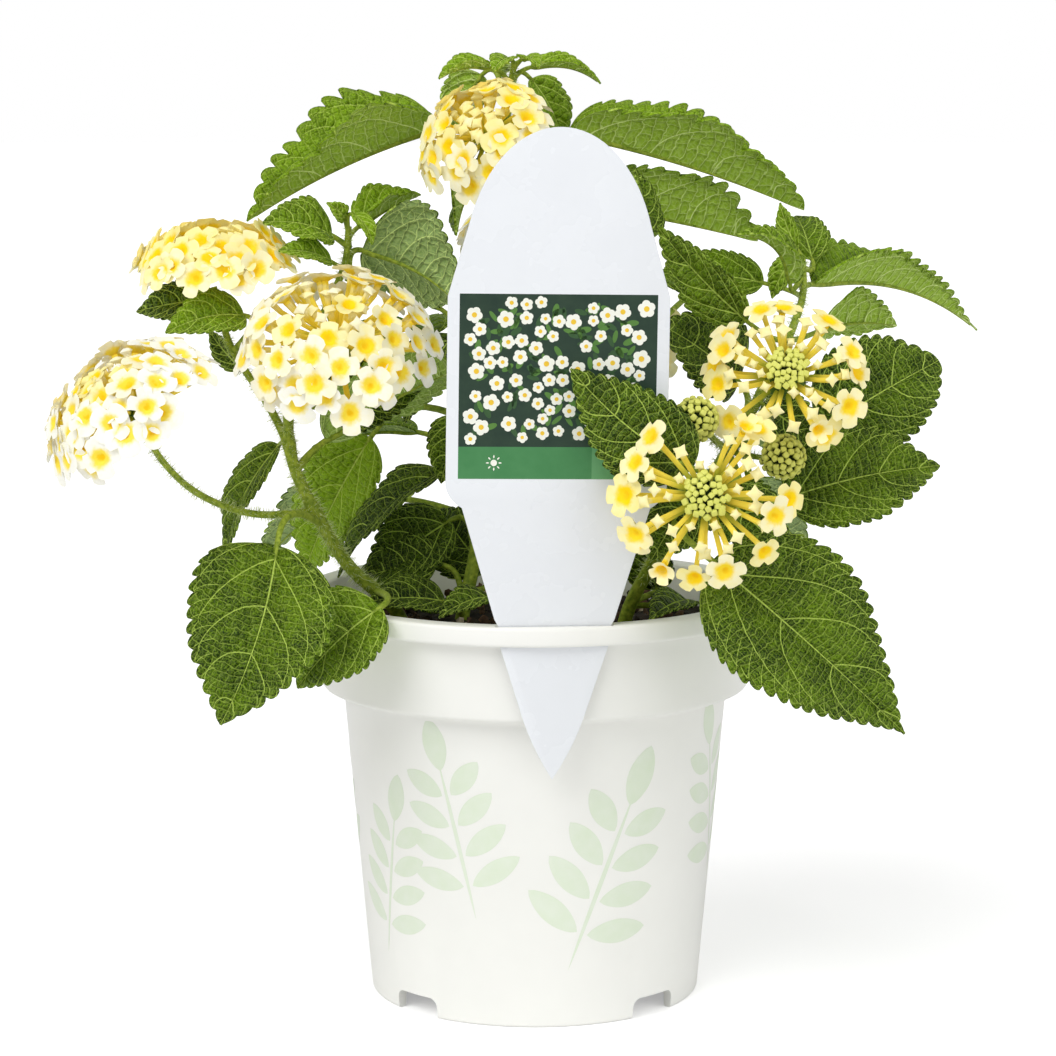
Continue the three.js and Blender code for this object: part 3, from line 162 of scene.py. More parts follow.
SMALL_LEAVES = {
    "left": [
        Leaf((-45, -4, 187), (-44, -6, 192), (-39, -11, 185), (0.6, -0.6, 0.6), 6, 1.5, 0.85),
        Leaf((-45, -4, 187), (-46, -5, 191), (-50, -9, 195), (-0.2, -0.8, 0.5), 5, 1, 0.85),
        Leaf((-46, -4, 179), (-49, -10, 181), (-61, -18, 184), (-0.1, -0.7, 0.7), 9, 1.5, 0.7),
        Leaf((-58, -18, 148), (-50, -16, 147), (-27, -15, 151), (0, -0.9, 0.4), 20, 2, 0.05),
    ],
    "centre": [
        Leaf((-5, 3, 227), (-6, 0, 229), (-10, -7, 226), (-0.1, -0.5, 1), 7, 1.2, 0.85),
        Leaf((-5, 3, 227), (-3, 1, 229), (1, -6, 227), (0.2, -0.5, 1), 6, 1.2, 0.85),
        Leaf((-5, 3, 227), (-5, 6, 227.5), (-8, 17, 224.5), (-0.2, 0.2, 1), 7, 1, 0.85),
        Leaf((-18, 2, 96), (-11, -14, 100), (-23, -26, 97), (0, -0.5, 0.85), 10, 1.5, 0.2),
        Leaf((-9, 8, 174), (6, 22, 180), (28, 46, 178), (0.1, 0.3, 1), 18, 4, 0.85),
        # These three leaves low in the pot have a tone of nought: they are dark as painted shade inside the
        # pot.
        Leaf((-18, 2, 94), (-24, 4, 105), (-45, 12, 99.5), (0, -0.75, 0.65), 19, 2, 0),
        Leaf((-18, 2, 92), (-22, -6, 97.5), (-41, -16, 99), (0.1, -0.6, 0.8), 14, 1.5, 0),
        Leaf((-17, 3, 98), (-12, 10, 102), (-24, 24, 116), (-0.2, -0.9, 0.3), 20, 2, 0),
        Leaf((-11, 6, 130), (-18, 3, 142), (-23, -1, 126), (-0.2, -0.9, 0.3), 13, 1.5, 0.3),
    ],
    "right": [
        Leaf((65, 0, 180), (63, 3, 181), (58, 4, 171), (-0.4, -0.9, 0.3), 7, 1.5, 0.7),
        Leaf((65, 0, 180), (64, 3, 183), (60, 8, 194), (-0.5, -0.8, 0.1), 6, 1, 0.7),
        # This leaf and the last one, low in the pot, have a tone of nought: they are dark as painted shade
        # inside the pot.
        Leaf((23, -4, 96), (37, -14, 99), (27, -34, 98), (0, -0.6, 0.8), 11, 1.5, 0),
        Leaf((37, -22, 124), (38, -42, 131), (27, -46, 114), (-0.2, -0.9, 0.3), 19, 1.5, 0.1),
        Leaf((37, -22, 124), (43, -39, 129), (59, -43, 114), (0.2, -0.9, 0.3), 18, 1.5, 0.1),
        Leaf((50, -22, 144), (54, -22, 148), (68, -20, 137), (0.1, -0.9, 0.3), 14, 1.5, 0.05),
        Leaf((23, -4, 97), (30, 5, 103), (17, 18, 113), (0.1, -0.9, 0.3), 18, 2, 0),
    ],
    "back_left": [
        Leaf((-16, 37, 128), (-30, 38, 134), (-60, 46, 124), (-0.2, 0.1, 1), 21, 4, 0.4),
        Leaf((-14, 42, 157), (-24, 44, 165), (-52, 50, 168), (-0.1, 0.3, 1), 18, 4, 0.4),
    ],
    "back_right": [
        Leaf((19, 36, 126), (32, 34, 134), (62, 38, 128), (0.2, 0.1, 1), 21, 4, 0.4),
    ],
}
STEMS = {
    "left": [
        Run([
            (-30, -5, 79), (-33, -8, 94), (-45, -16, 108),
            (-51, -22, 119), (-57, -24, 132), (-59, -22, 140),
        ], (2.1, 1.6)),
        Run([(-59, -22, 139), (-58, -16, 150), (-52, -6, 166), (-46, -4, 180), (-45, -4, 189)], (1.4, 0.9)),
        Run([(-59, -22, 139), (-64, -20, 148), (-73, -14, 161), (-77, -12, 175)], (1.2, 0.9)),
        Run([(-59, -22, 139), (-58, -28, 149), (-51, -33, 155), (-46, -34, 162)], (1.2, 0.9)),
        Run([
            (-53, -23, 122), (-67, -32, 123), (-79, -39, 128.8),
            (-86.5, -44, 137), (-92, -48, 148),
        ], (1.1, 0.8)),
    ],
    "centre": [
        Run([
            (-19, 2, 79), (-18, 2, 92), (-15, 4, 106),
            (-12, 6, 126), (-9, 8, 160), (-7, 7, 198),
        ], (2.2, 1.5)),
        Run([(-7, 7, 197), (-7, 5, 212), (-6, 4, 222), (-5, 3, 228)], (1.4, 0.9)),
        Run([(-7, 7, 197), (-9, -1, 205), (-12, -7, 212)], (1.1, 0.8)),
    ],
    "right": [
        Run([
            (22, -2, 79), (22, -4, 92), (29, -12, 109),
            (37, -22, 124), (46, -24, 137), (55, -20, 152),
        ], (2.1, 1.4)),
        Run([(54.5, -20.4, 151), (62, -10, 165), (65, -3, 173), (65, 0, 181)], (1.4, 0.9)),
        Run([(46, -24, 137), (53, -33, 144), (57, -40, 153)], (1.1, 0.8)),
        Run([(37, -22, 124), (40, -38, 123), (39, -54, 128), (38, -66, 132)], (1.1, 0.8)),
        Run([(46, -24, 137), (42, -36, 141), (37, -47, 147)], (0.9, 0.7)),
        Run([(46, -24, 137), (53, -29, 136), (58, -36, 137)], (0.9, 0.7)),
    ],
    "back_left": [
        Run([(-8, 24, 79), (-9, 26, 92), (-15, 33, 112), (-17, 38, 135), (-14, 42, 160)], (2.0, 1.3)),
        Run([(-14, 42, 159), (-9, 45, 170), (-2, 48, 182)], (1.1, 0.8)),
    ],
    "back_right": [
        Run([(13, 26, 79), (14, 28, 92), (17, 33, 110), (20, 36, 130), (19, 38, 152)], (2.0, 1.3)),
        Run([(20, 36.5, 140), (21, 43, 147), (22, 50, 154)], (1.0, 0.8)),
    ],
}


class Head(NamedTuple):
    """A flower head: its middle, the way it faces, its dome, how many florets, and how far it has aged."""

    centre: tuple
    axis: tuple
    radius: float
    height: float
    florets: int
    age: float  # 0 is pale yellow, and 1 has turned white
    young: bool = False  # buds in the middle and a ring of open florets
    skirt: float = 100  # degrees from the middle to its lowest florets


HEADS = {
    "top": Head((-12, -8, 210), (-0.35, -0.6, 0.7), 15.5, 10, 40, 0.1),
    "upper_left": Head((-77, -12, 180), (-0.05, -0.2, 1), 18, 9.5, 46, 0.0, skirt=88),
    "far_left": Head((-92.8, -48, 148.2), (-0.52, -0.32, 0.79), 20.5, 14, 58, 0.9, skirt=88),
    "centre_left": Head((-46, -35, 163), (0, -0.58, 0.81), 22, 13.5, 58, 0.45),
    "upper_right": Head((58, -41, 156), (0, -0.9, 0.42), 16.8, 14, 15, 0, young=True),
    "lower_right": Head((38.5, -67, 132), (-0.08, -0.98, 0.15), 18.2, 12, 15, 0, young=True),
    "back_upper": Head((-2, 48, 181), (0.1, 0.6, 0.8), 16, 11, 44, 0.5),
    "back_lower": Head((22, 51, 154), (-0.1, 0.7, 0.7), 15, 12, 10, 0.1, young=True),
}
WHITENED = 0.4  # from this age on, a head counts as white
BUD_HEADS = {  # middle and axis
    "left": ((37, -47, 147), (-0.1, -0.85, 0.5)),
    "right": ((58, -36, 137), (0.2, -0.9, 0.2)),
}

LABEL_TURN = radians(4.6)
LABEL_TILT = radians(0.8)
LABEL_BACK = 54.0
LABEL_THICK = 0.8
LABEL_TOP = 214.4
LABEL_FOOT = 63.8
RIM_HEIGHT = 100
SOIL_LEVEL = 91

# ---- mesh helpers --------------------------------------------------------------------------------


def smoothstep(low, high, value):
    share = min(1.0, max(0.0, (value - low) / (high - low)))
    return share * share * (3 - 2 * share)


def mesh_from(bm, name):
    mesh = bpy.data.meshes.new(name)
    bm.to_mesh(mesh)
    bm.free()
    return mesh


def add_object(name, data):
    added = bpy.data.objects.new(name, data)
    bpy.context.scene.collection.objects.link(added)
    return added


def faces_of(verts):
    return {face for vert in verts for face in vert.link_faces}


def paint(faces, material):
    for face in faces:
        face.material_index = material


def finish_piece(bm, name, looks, slot, *nodes, creases=50):
    """Turns bm, in millimetres, into a piece that rides on the plant and stands for its CAD nodes."""
    bmesh.ops.recalc_face_normals(bm, faces=bm.faces)
    bmesh.ops.scale(bm, vec=(MM, MM, MM), verts=bm.verts)
    for edge in bm.edges:
        if len(edge.link_faces) == 2 and edge.calc_face_angle(0) > radians(creases):
            edge.smooth = False
    for face in bm.faces:
        face.smooth = True
    mesh = mesh_from(bm, name)
    for look in looks:
        mesh.materials.append(LOOKS[look])
    piece = add_object(name, mesh)
    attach(piece, "root")
    if nodes:
        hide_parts(*nodes)


def stamp(bm, template, place):
    """Adds a copy of a template mesh at a place, and returns its vertices."""
    copy = template.copy()
    copy.transform(place)
    before = len(bm.verts)
    bm.from_mesh(copy)
    bpy.data.meshes.remove(copy)
    bm.verts.ensure_lookup_table()
    return bm.verts[before:]


def template_from(bm, name, material=0):
    bmesh.ops.recalc_face_normals(bm, faces=bm.faces)
    paint(bm.faces, material)
    return mesh_from(bm, name)


def spun(profile, steps):
    """A bmesh turned round the Z axis from a profile of (radius, height) points."""
    bm = bmesh.new()
    verts = [bm.verts.new((r, 0, z)) for r, z in profile]
    edges = [bm.edges.new(pair) for pair in zip(verts, verts[1:])]
    bmesh.ops.spin(
        bm, geom=verts + edges, cent=(0, 0, 0), axis=(0, 0, 1), dvec=(0, 0, 0),
        angle=2 * pi, steps=steps, use_merge=True,
    )
    bmesh.ops.remove_doubles(bm, verts=bm.verts, dist=1e-4)
    return bm


def rounded(corners, radius, steps=3):
    """A profile whose inner corners are eased by a small curve."""
    path = [Vector(corner) for corner in corners]
    eased = [path[0]]
    for before, corner, after in zip(path, path[1:], path[2:]):
        arms = (before - corner, after - corner)
        start, end = (corner + arm.normalized() * min(radius, 0.45 * arm.length) for arm in arms)
        eased += [bezier((start, corner, end), step / steps) for step in range(steps + 1)]
    return [*eased, path[-1]]


def spoke(right, up, angle):
    """The direction at an angle between two directions that are square to each other."""
    return right * cos(angle) + up * sin(angle)


def carried_frames(centres):
    """At each point of a path: the point and two directions square to the path, carried without twist."""
    frames = []
    right = None
    for index, centre in enumerate(centres):
        ahead = centres[min(index + 1, len(centres) - 1)] - centres[max(index - 1, 0)]
        ahead.normalize()
        if right is None:
            right = ahead.orthogonal()
        right = (right - ahead * right.dot(ahead)).normalized()
        frames.append((centre, right, ahead.cross(right)))
    return frames


def add_tube(bm, centres, radius_at, sides, material=0):
    """A closed tube along a path: a grid rolled round it and filled at both ends."""
    steps = len(centres) - 1
    frames = carried_frames(centres)
    grid = bmesh.ops.create_grid(bm, x_segments=sides, y_segments=steps, size=1)["verts"]
    for vert in grid:
        angle = (vert.co.x + 1) * pi
        step = round((vert.co.y + 1) / 2 * steps)
        centre, right, up = frames[step]
        vert.co = centre + spoke(right, up, angle) * radius_at(step / steps, angle)
    paint(faces_of(grid), material)
    bmesh.ops.remove_doubles(bm, verts=grid, dist=1e-4)
    rims = {edge for vert in grid if vert.is_valid for edge in vert.link_edges if edge.is_boundary}
    paint(bmesh.ops.holes_fill(bm, edges=list(rims), sides=0)["faces"], material)
    return frames


def thicken(bm, faces, thickness):
    """Gives sheets a thickness behind their faces, which stay where they are."""
    bm.normal_update()
    grown = bmesh.ops.extrude_face_region(bm, geom=list(faces), use_keep_orig=True)["geom"]
    for vert in [part for part in grown if isinstance(part, bmesh.types.BMVert)]:
        vert.co -= vert.normal * thickness


def bezier(points, t):
    """A point on a Bezier curve of any degree."""
    row = [Vector(point) for point in points]
    while len(row) > 1:
        row = [a.lerp(b, t) for a, b in zip(row, row[1:])]
    return row[0]


def shoot_path(points, count):
    """Evenly spaced points on the centripetal Catmull-Rom curve through a shoot's points."""
    path = [Vector(point) for point in points]
    path = [2 * path[0] - path[1], *path, 2 * path[-1] - path[-2]]
    fine = []
    for p0, p1, p2, p3 in zip(path, path[1:], path[2:], path[3:]):
        d0, d1, d2 = (p1 - p0).length ** 0.5, (p2 - p1).length ** 0.5, (p3 - p2).length ** 0.5
        leaving = ((p1 - p0) / d0 - (p2 - p0) / (d0 + d1) + (p2 - p1) / d1) * d1
        arriving = ((p2 - p1) / d1 - (p3 - p1) / (d1 + d2) + (p3 - p2) / d2) * d1
        controls = (p1, p1 + leaving / 3, p2 - arriving / 3, p2)
        fine += [bezier(controls, step / 24) for step in range(24)]
    fine.append(path[-2])
    lengths = [0.0]
    for a, b in zip(fine, fine[1:]):
        lengths.append(lengths[-1] + (b - a).length)
    spaced, k = [], 0
    for index in range(count + 1):
        target = lengths[-1] * index / count
        while k < len(fine) - 2 and lengths[k + 1] < target:
            k += 1
        share = (target - lengths[k]) / (lengths[k + 1] - lengths[k])
        spaced.append(fine[k].lerp(fine[k + 1], share))
    return spaced


def axis_frame(axis):
    """Two directions square to an axis, and the axis."""
    out = Vector(axis).normalized()
    across = Vector((0, 0, 1)) if abs(out.z) < 0.9 else Vector((1, 0, 0))
    right = out.cross(across).normalized()
    return right, right.cross(out), out


def turned_to(out, turn=0.0):
    """A rotation that takes Z to a direction, after a turn round Z."""
    return out.to_track_quat("Z", "Y").to_matrix().to_4x4() @ Matrix.Rotation(turn, 4, "Z")


# ---- materials -----------------------------------------------------------------------------------


def srgb(red, green, blue):
    """A colour picked as 0 to 255 values, turned into the linear values that a shader takes."""
    def linear(value):
        share = value / 255
        return share / 12.92 if share <= 0.04045 else ((share + 0.055) / 1.055) ** 2.4
    return (linear(red), linear(green), linear(blue), 1.0)


class Wiring:
    """Places nodes in a tree and joins them: an input is a value or another node's output."""

    def __init__(self, tree):
        self.tree = tree

    def feed(self, socket, value):
        if isinstance(value, bpy.types.NodeSocket):
            self.tree.links.new(value, socket)
        else:
            socket.default_value = value

    def node(self, kind, inputs=(), **settings):
        node = self.tree.nodes.new(kind)
        node.location.x = 200 * len(self.tree.nodes)
        for key, value in settings.items():
            setattr(node, key, value)
        for key, value in dict(inputs).items():
            self.feed(node.inputs[key], value)
        return node

    def math(self, operation, first, second=0.0, clamp=False):
        node = self.node("ShaderNodeMath", {0: first, 1: second}, operation=operation, use_clamp=clamp)
        return node.outputs[0]

    plus = partialmethod(math, "ADD")
    minus = partialmethod(math, "SUBTRACT")
    times = partialmethod(math, "MULTIPLY")
    over = partialmethod(math, "DIVIDE")
    larger = partialmethod(math, "MAXIMUM")
    absolute = partialmethod(math, "ABSOLUTE")

    def mask(self, value, low, high, start=0.0, end=1.0):
        """Runs smoothly from start to end as the value goes from low to high."""
        inputs = {"Value": value, "From Min": low, "From Max": high, "To Min": start, "To Max": end}
        return self.node("ShaderNodeMapRange", inputs, interpolation_type="SMOOTHSTEP").outputs["Result"]

    def mix(self, share, first, second):
        return self.node("ShaderNodeMix", {0: share, 6: first, 7: second}, data_type="RGBA").outputs[2]

    def noise(self, place, scale, detail=3.0, roughness=0.55):
        inputs = {"Vector": place, "Scale": scale, "Detail": detail, "Roughness": roughness}
        return self.node("ShaderNodeTexNoise", inputs).outputs["Fac"]

    def split(self, vector):
        return self.node("ShaderNodeSeparateXYZ", {0: vector}).outputs

    def attribute(self, name):
        return self.node("ShaderNodeAttribute", attribute_name=name).outputs["Vector"]

    def group(self, tree, **inputs):
        named = {key.replace("_", " "): value for key, value in inputs.items()}
        return self.node("ShaderNodeGroup", named, node_tree=tree).outputs


def node_group(name, inputs, outputs):
    """An empty shader group with these number sockets, its wiring, its inputs and its outputs."""
    tree = bpy.data.node_groups.new(name, "ShaderNodeTree")
    for way, sockets in (("INPUT", inputs), ("OUTPUT", outputs)):
        for socket in sockets:
            tree.interface.new_socket(socket, in_out=way, socket_type="NodeSocketFloat")
    wiring = Wiring(tree)
    return tree, wiring, wiring.node("NodeGroupInput").outputs, wiring.node("NodeGroupOutput").inputs


def make_grain_group():
    """Fine mottling on the object's own coordinates: a mask for colour and a height for bump."""
    tree, w, given, result = node_group("Surface grain", ("Scale", "Spread"), ("Mottle", "Height"))
    place = w.node("ShaderNodeTexCoord").outputs["Object"]
    coarse = w.noise(place, given["Scale"])
    fine = w.noise(place, w.times(given["Scale"], 7.0))
    mottle = w.times(w.minus(coarse, 0.5), given["Spread"])
    w.feed(result["Mottle"], w.plus(mottle, 0.5, clamp=True))
    w.feed(result["Height"], w.plus(coarse, w.times(fine, 0.35)))
    return tree


def make_vein_group():
    """Veins of a blade from its own attributes, and the puckered cells between them."""
    outputs = ("Main", "Side", "Net", "Height", "Tone", "Speck")
    tree, w, given, result = node_group("Leaf veins", ("Rung gap",), outputs)
    blade = w.attribute("blade")
    spot = w.split(blade)
    share = w.split(w.attribute("leaf"))
    note = w.split(w.attribute("tone"))
    across = w.absolute(spot["X"])
    edge = w.absolute(share["X"])
    gap = given["Rung gap"]

    def lines(count, spacing, half_width, soft):
        """Lines of a width in millimetres wherever a count passes a whole number, and how far they are."""
        away = w.times(w.absolute(w.minus(count, w.math("ROUND", count))), spacing)
        return w.mask(w.minus(away, half_width), 0.0, soft, 1.0, 0.0), away

    def stepped(count, step):
        """A different shift for each band between two lines."""
        return w.times(w.math("FLOOR", count), step)

    half_main = w.mask(share["Y"], 0.0, 1.0, 0.18, 0.03)
    main = w.mask(w.minus(across, half_main), 0.0, 0.13, 1.0, 0.0)
    side, side_away = lines(spot["Z"], share["Z"], w.mask(edge, 0.0, 1.0, 0.08, 0.02), 0.12)
    branch, _ = lines(note["Y"], note["Z"], 0.01, 0.11)
    side = w.larger(side, w.times(branch, w.mask(edge, 0.45, 0.7, 0.0, 0.85)))

    drift = w.node("ShaderNodeTexNoise", {"Vector": blade, "Scale": 0.33, "Detail": 2.0})
    sway = w.split(drift.outputs["Color"])
    lean = w.times(across, w.minus(w.times(edge, 0.45), 0.25))
    upward = w.plus(w.plus(spot["Y"], lean), w.times(sway["X"], 2.6))
    rung = w.plus(w.over(upward, gap), stepped(spot["Z"], 0.618))
    rungs, rung_away = lines(rung, gap, 0.03, 0.14)
    outward = w.plus(w.minus(across, w.times(spot["Y"], 0.2)), w.times(sway["Y"], 2.6))
    link = w.plus(w.over(outward, gap), stepped(rung, 0.382))
    links_between, link_away = lines(link, gap, 0.02, 0.13)
    inputs = {"Vector": blade, "Scale": w.over(2.4, gap), "Randomness": 0.9}
    cells = w.node("ShaderNodeTexVoronoi", inputs, feature="DISTANCE_TO_EDGE").outputs["Distance"]
    finest = w.mask(cells, 0.0, 0.16, 0.28, 0.0)
    net = w.larger(rungs, w.larger(w.times(links_between, 0.75), finest))

    pillow = w.plus(w.mask(rung_away, 0.0, 0.8, 0.0, 0.8), w.mask(link_away, 0.0, 0.8, 0.0, 0.5))
    pillow = w.plus(pillow, w.mask(cells, 0.0, 0.35, 0.0, 0.15))
    pillow = w.plus(pillow, w.mask(side_away, 0.0, 1.3, 0.0, 0.7))
    height = w.minus(pillow, w.times(main, 0.8))
    # A fine speckle, which the leaf top uses partly as painted highlight and shade.
    speck = w.noise(blade, 2.6, 2.0, 0.7)
    for output, value in zip(outputs, (main, side, net, height, note["X"], speck)):
        w.feed(result[output], value)
    return tree


def new_material(name, **plain):
    """A material, its wiring and its Principled shader's sockets, with the plain values set."""
    material = bpy.data.materials.new(name)
    material.use_nodes = True
    skin = material.node_tree.nodes["Principled BSDF"].inputs
    for key, value in plain.items():
        skin[key.replace("_", " ")].default_value = value
    return material, Wiring(material.node_tree), skin


def connect(w, skin, colour, height, relief, strength):
    """Joins up a colour and a bump, whose relief is in metres."""
    w.feed(skin["Base Color"], colour)
    bump = w.node("ShaderNodeBump", {"Height": height, "Distance": relief, "Strength": strength})
    w.feed(skin["Normal"], bump.outputs["Normal"])


def make_mottled(name, grain, ground, fleck, scale, spread, relief, strength, gloss=None, **plain):
    """A skin of two mottled colours. Where it has a gloss, faint marks of handling change that."""
    material, w, skin = new_material(name, **plain)
    look = w.group(grain, Scale=scale, Spread=spread)
    if gloss:
        w.feed(skin["Roughness"], w.mask(look["Mottle"], 0.2, 0.8, gloss - 0.06, gloss + 0.08))
    connect(w, skin, w.mix(look["Mottle"], ground, fleck), look["Height"], relief, strength)
    return material


def make_leaf_top(veins, settings):
    material, w, skin = new_material("Leaf top", Specular_IOR_Level=0.14)
    vein = (*settings.vein_colour, 1)
    look = w.group(veins, Rung_gap=2.0)
    patch = w.noise(w.node("ShaderNodeTexCoord").outputs["Object"], 130.0)
    # Random patches of tone, and a fine speckle that is partly painted highlight and shade on the puffed
    # cells.
    patches_and_painted_speckle = w.plus(w.mask(patch, 0.3, 0.7, -0.14, 0.14), w.mask(look["Speck"], 0.3, 0.7, -0.22, 0.34))
    # The leaf's tone, partly its age and partly painted light and shade, runs the colour from dark to fresh.
    tone = w.plus(w.math("POWER", look["Tone"], 1.4), patches_and_painted_speckle, clamp=True)
    base = w.mix(tone, (*settings.dark_colour, 1), (*settings.fresh_and_lit_colour, 1))
    netted = w.mix(w.times(look["Net"], 0.4), base, vein)
    ribs = w.larger(look["Main"], w.times(look["Side"], 0.9))
    w.feed(skin["Roughness"], w.mask(look["Height"], 0.0, 2.2, 0.66, 0.42))
    connect(w, skin, w.mix(ribs, netted, vein), look["Height"], 0.0005, 1.0)
    return material


def make_leaf_under(veins):
    """The paler side, with a painted glow for the light that comes through it, and its veins standing out."""
    material, w, skin = new_material("Leaf underside", Specular_IOR_Level=0.15, Emission_Strength=0.12)
    vein = srgb(206, 226, 140)
    look = w.group(veins, Rung_gap=2.8)
    speck = w.mask(look["Speck"], 0.3, 0.7, -0.15, 0.15)
    # The leaf's tone, partly its age and partly painted light and shade, runs the underside from grey-green
    # to yellow-green.
    tone = w.plus(w.mask(look["Tone"], 0.3, 0.62), speck, clamp=True)
    base = w.mix(w.times(look["Net"], 0.7), w.mix(tone, srgb(128, 150, 100), srgb(138, 170, 48)), vein)
    colour = w.mix(w.larger(look["Main"], look["Side"]), base, vein)
    # The painted glow, in the underside's own colour.
    w.feed(skin["Emission Color"], colour)
    w.feed(skin["Roughness"], w.mask(look["Tone"], 0, 1, 0.8, 0.7))
    connect(w, skin, colour, w.minus(1.0, look["Height"]), 0.0006, 1.0)
    return material


def make_bud(grain):
    """Closed buds: pale on top and darker down towards their stalks, partly their own colour and partly
    painted shade between them.
    """
    material, w, skin = new_material("Bud skin", Roughness=0.55, Specular_IOR_Level=0.3)
    look = w.group(grain, Scale=700.0, Spread=1.6)
    height = w.split(w.attribute("bloom"))["X"]
    # Height on the bud sets the colour: a pale tip above, and painted shade lower down between the buds.
    lit = w.plus(height, w.mask(look["Mottle"], 0.2, 0.8, -0.1, 0.1), clamp=True)
    colour = w.mix(w.mask(lit, 0.46, 0.94), srgb(40, 64, 8), srgb(222, 224, 112))
    connect(w, skin, colour, look["Height"], 0.0001, 0.4)
    return material


PETAL_GLOW = 0.07  # light that comes through the thin lobes and tubes


def make_petal(grain):
    """Corolla: lobes that pale with age round a yellow throat, and a golden tube behind."""
    material, w, skin = new_material(
        "Petal", Roughness=0.55, Specular_IOR_Level=0.15, Emission_Strength=PETAL_GLOW
    )
    bloom = w.split(w.attribute("bloom"))
    look = w.group(grain, Scale=500.0, Spread=1.2)
    aged = w.plus(bloom["Y"], w.mask(look["Mottle"], 0.2, 0.8, -0.12, 0.12), clamp=True)
    lobe = w.mix(aged, srgb(250, 238, 158), srgb(250, 249, 238))
    throat = w.mix(aged, srgb(253, 216, 6), srgb(250, 226, 76))
    rim = w.plus(bloom["X"], w.mask(look["Mottle"], 0.2, 0.8, -0.08, 0.08))
    eye = w.mix(w.mask(rim, 0.06, 0.24), srgb(248, 202, 8), throat)
    face = w.mix(w.mask(rim, 0.32, 0.64), eye, lobe)
    tube = w.mix(w.mask(bloom["X"], 1.45, 2.0), srgb(246, 222, 80), srgb(158, 168, 46))
    colour = w.mix(bloom["Z"], face, tube)
    w.feed(skin["Emission Color"], colour)
    connect(w, skin, colour, look["Height"], 0.0001, 0.35)
    return material


def make_floor(grain):
    """A pale floor that the camera sees a little brighter, so that it runs into the backdrop."""
    material, w, skin = new_material(
        "Studio floor", Roughness=0.8, Specular_IOR_Level=0.1, Emission_Color=(1, 1, 1, 1)
    )
    look = w.group(grain, Scale=3.0, Spread=1.6)
    w.feed(skin["Base Color"], w.mix(look["Mottle"], srgb(245, 245, 245), srgb(247, 247, 247)))
    seen = w.node("ShaderNodeLightPath").outputs["Is Camera Ray"]
    w.feed(skin["Emission Strength"], w.times(seen, 0.36))
    return material


# How each kind of plain skin is mottled: the grain's size and spread, its relief and the sheen.
PLASTIC = {"spread": 1.6, "relief": 0.00004, "strength": 0.3, "Specular_IOR_Level": 0.45}
GREEN = {"scale": 900.0, "spread": 2.4, "relief": 0.0001, "strength": 0.5, "Specular_IOR_Level": 0.3}
CRUMB = {"scale": 420.0, "spread": 3.2, "relief": 0.0005, "strength": 0.8}
PRINT = {
    "scale": 260.0, "spread": 1.6, "relief": 0.00002, "strength": 0.2, "Roughness": 0.38,
    "Specular_IOR_Level": 0.4,
}
MOTTLED = {
    "pot": ("Pot plastic", (243, 243, 238), (248, 248, 243), {**PLASTIC, "scale": 60.0, "gloss": 0.34}),
    "label": ("Label plastic", (234, 237, 241), (237, 240, 244), {**PLASTIC, "scale": 90.0, "gloss": 0.26}),
    "stalk": ("Stalk skin", (96, 122, 18), (168, 184, 62), {**GREEN, "Roughness": 0.6}),
    "hair": ("Stem hair", (170, 188, 110), (215, 225, 175), {**GREEN, "Roughness": 0.5}),
    "bract": ("Bract", (44, 78, 20), (84, 118, 40), {**GREEN, "Roughness": 0.6}),
    "soil": ("Potting mix", (14, 10, 7), (46, 33, 24), {**CRUMB, "Roughness": 0.95}),
    "bark": ("Bark chip", (44, 30, 20), (104, 76, 52), {**CRUMB, "Roughness": 0.9}),
    "perlite": ("Perlite", (150, 132, 104), (214, 202, 180), {**CRUMB, "Roughness": 0.85}),
    "pale_print": ("Pale green print", (230, 238, 222), (222, 234, 210), PRINT),
    "panel": ("Dark panel print", (42, 66, 48), (24, 50, 38), PRINT),
    "band": ("Band print", (74, 138, 84), (62, 128, 74), PRINT),
    "band_light": ("Light band print", (106, 166, 112), (96, 158, 104), PRINT),
    "white_print": ("White print", (238, 240, 226), (250, 250, 240), PRINT),
    "yellow_print": ("Yellow print", (236, 190, 44), (244, 206, 60), PRINT),
    "green_print": ("Green print", (76, 120, 50), (92, 138, 60), PRINT),
    "deep_print": ("Deep green print", (46, 80, 44), (56, 92, 50), PRINT),
}
LOOKS = {}


def make_looks():
    """Builds the shared groups once, and every material of the plant, pot and label."""
    grain = make_grain_group()
    veins = make_vein_group()
    for key, (name, ground, fleck, kind) in MOTTLED.items():
        LOOKS[key] = make_mottled(name, grain, srgb(*ground), srgb(*fleck), **kind)
    LOOKS["leaf"] = make_leaf_top(veins, bpy.context.scene.lantana_leaves)
    LOOKS["under"] = make_leaf_under(veins)
    LOOKS["bud"] = make_bud(grain)
    LOOKS["petal"] = make_petal(grain)
    LOOKS["floor"] = make_floor(grain)


# ---- settings ------------------------------------------------------------------------------------


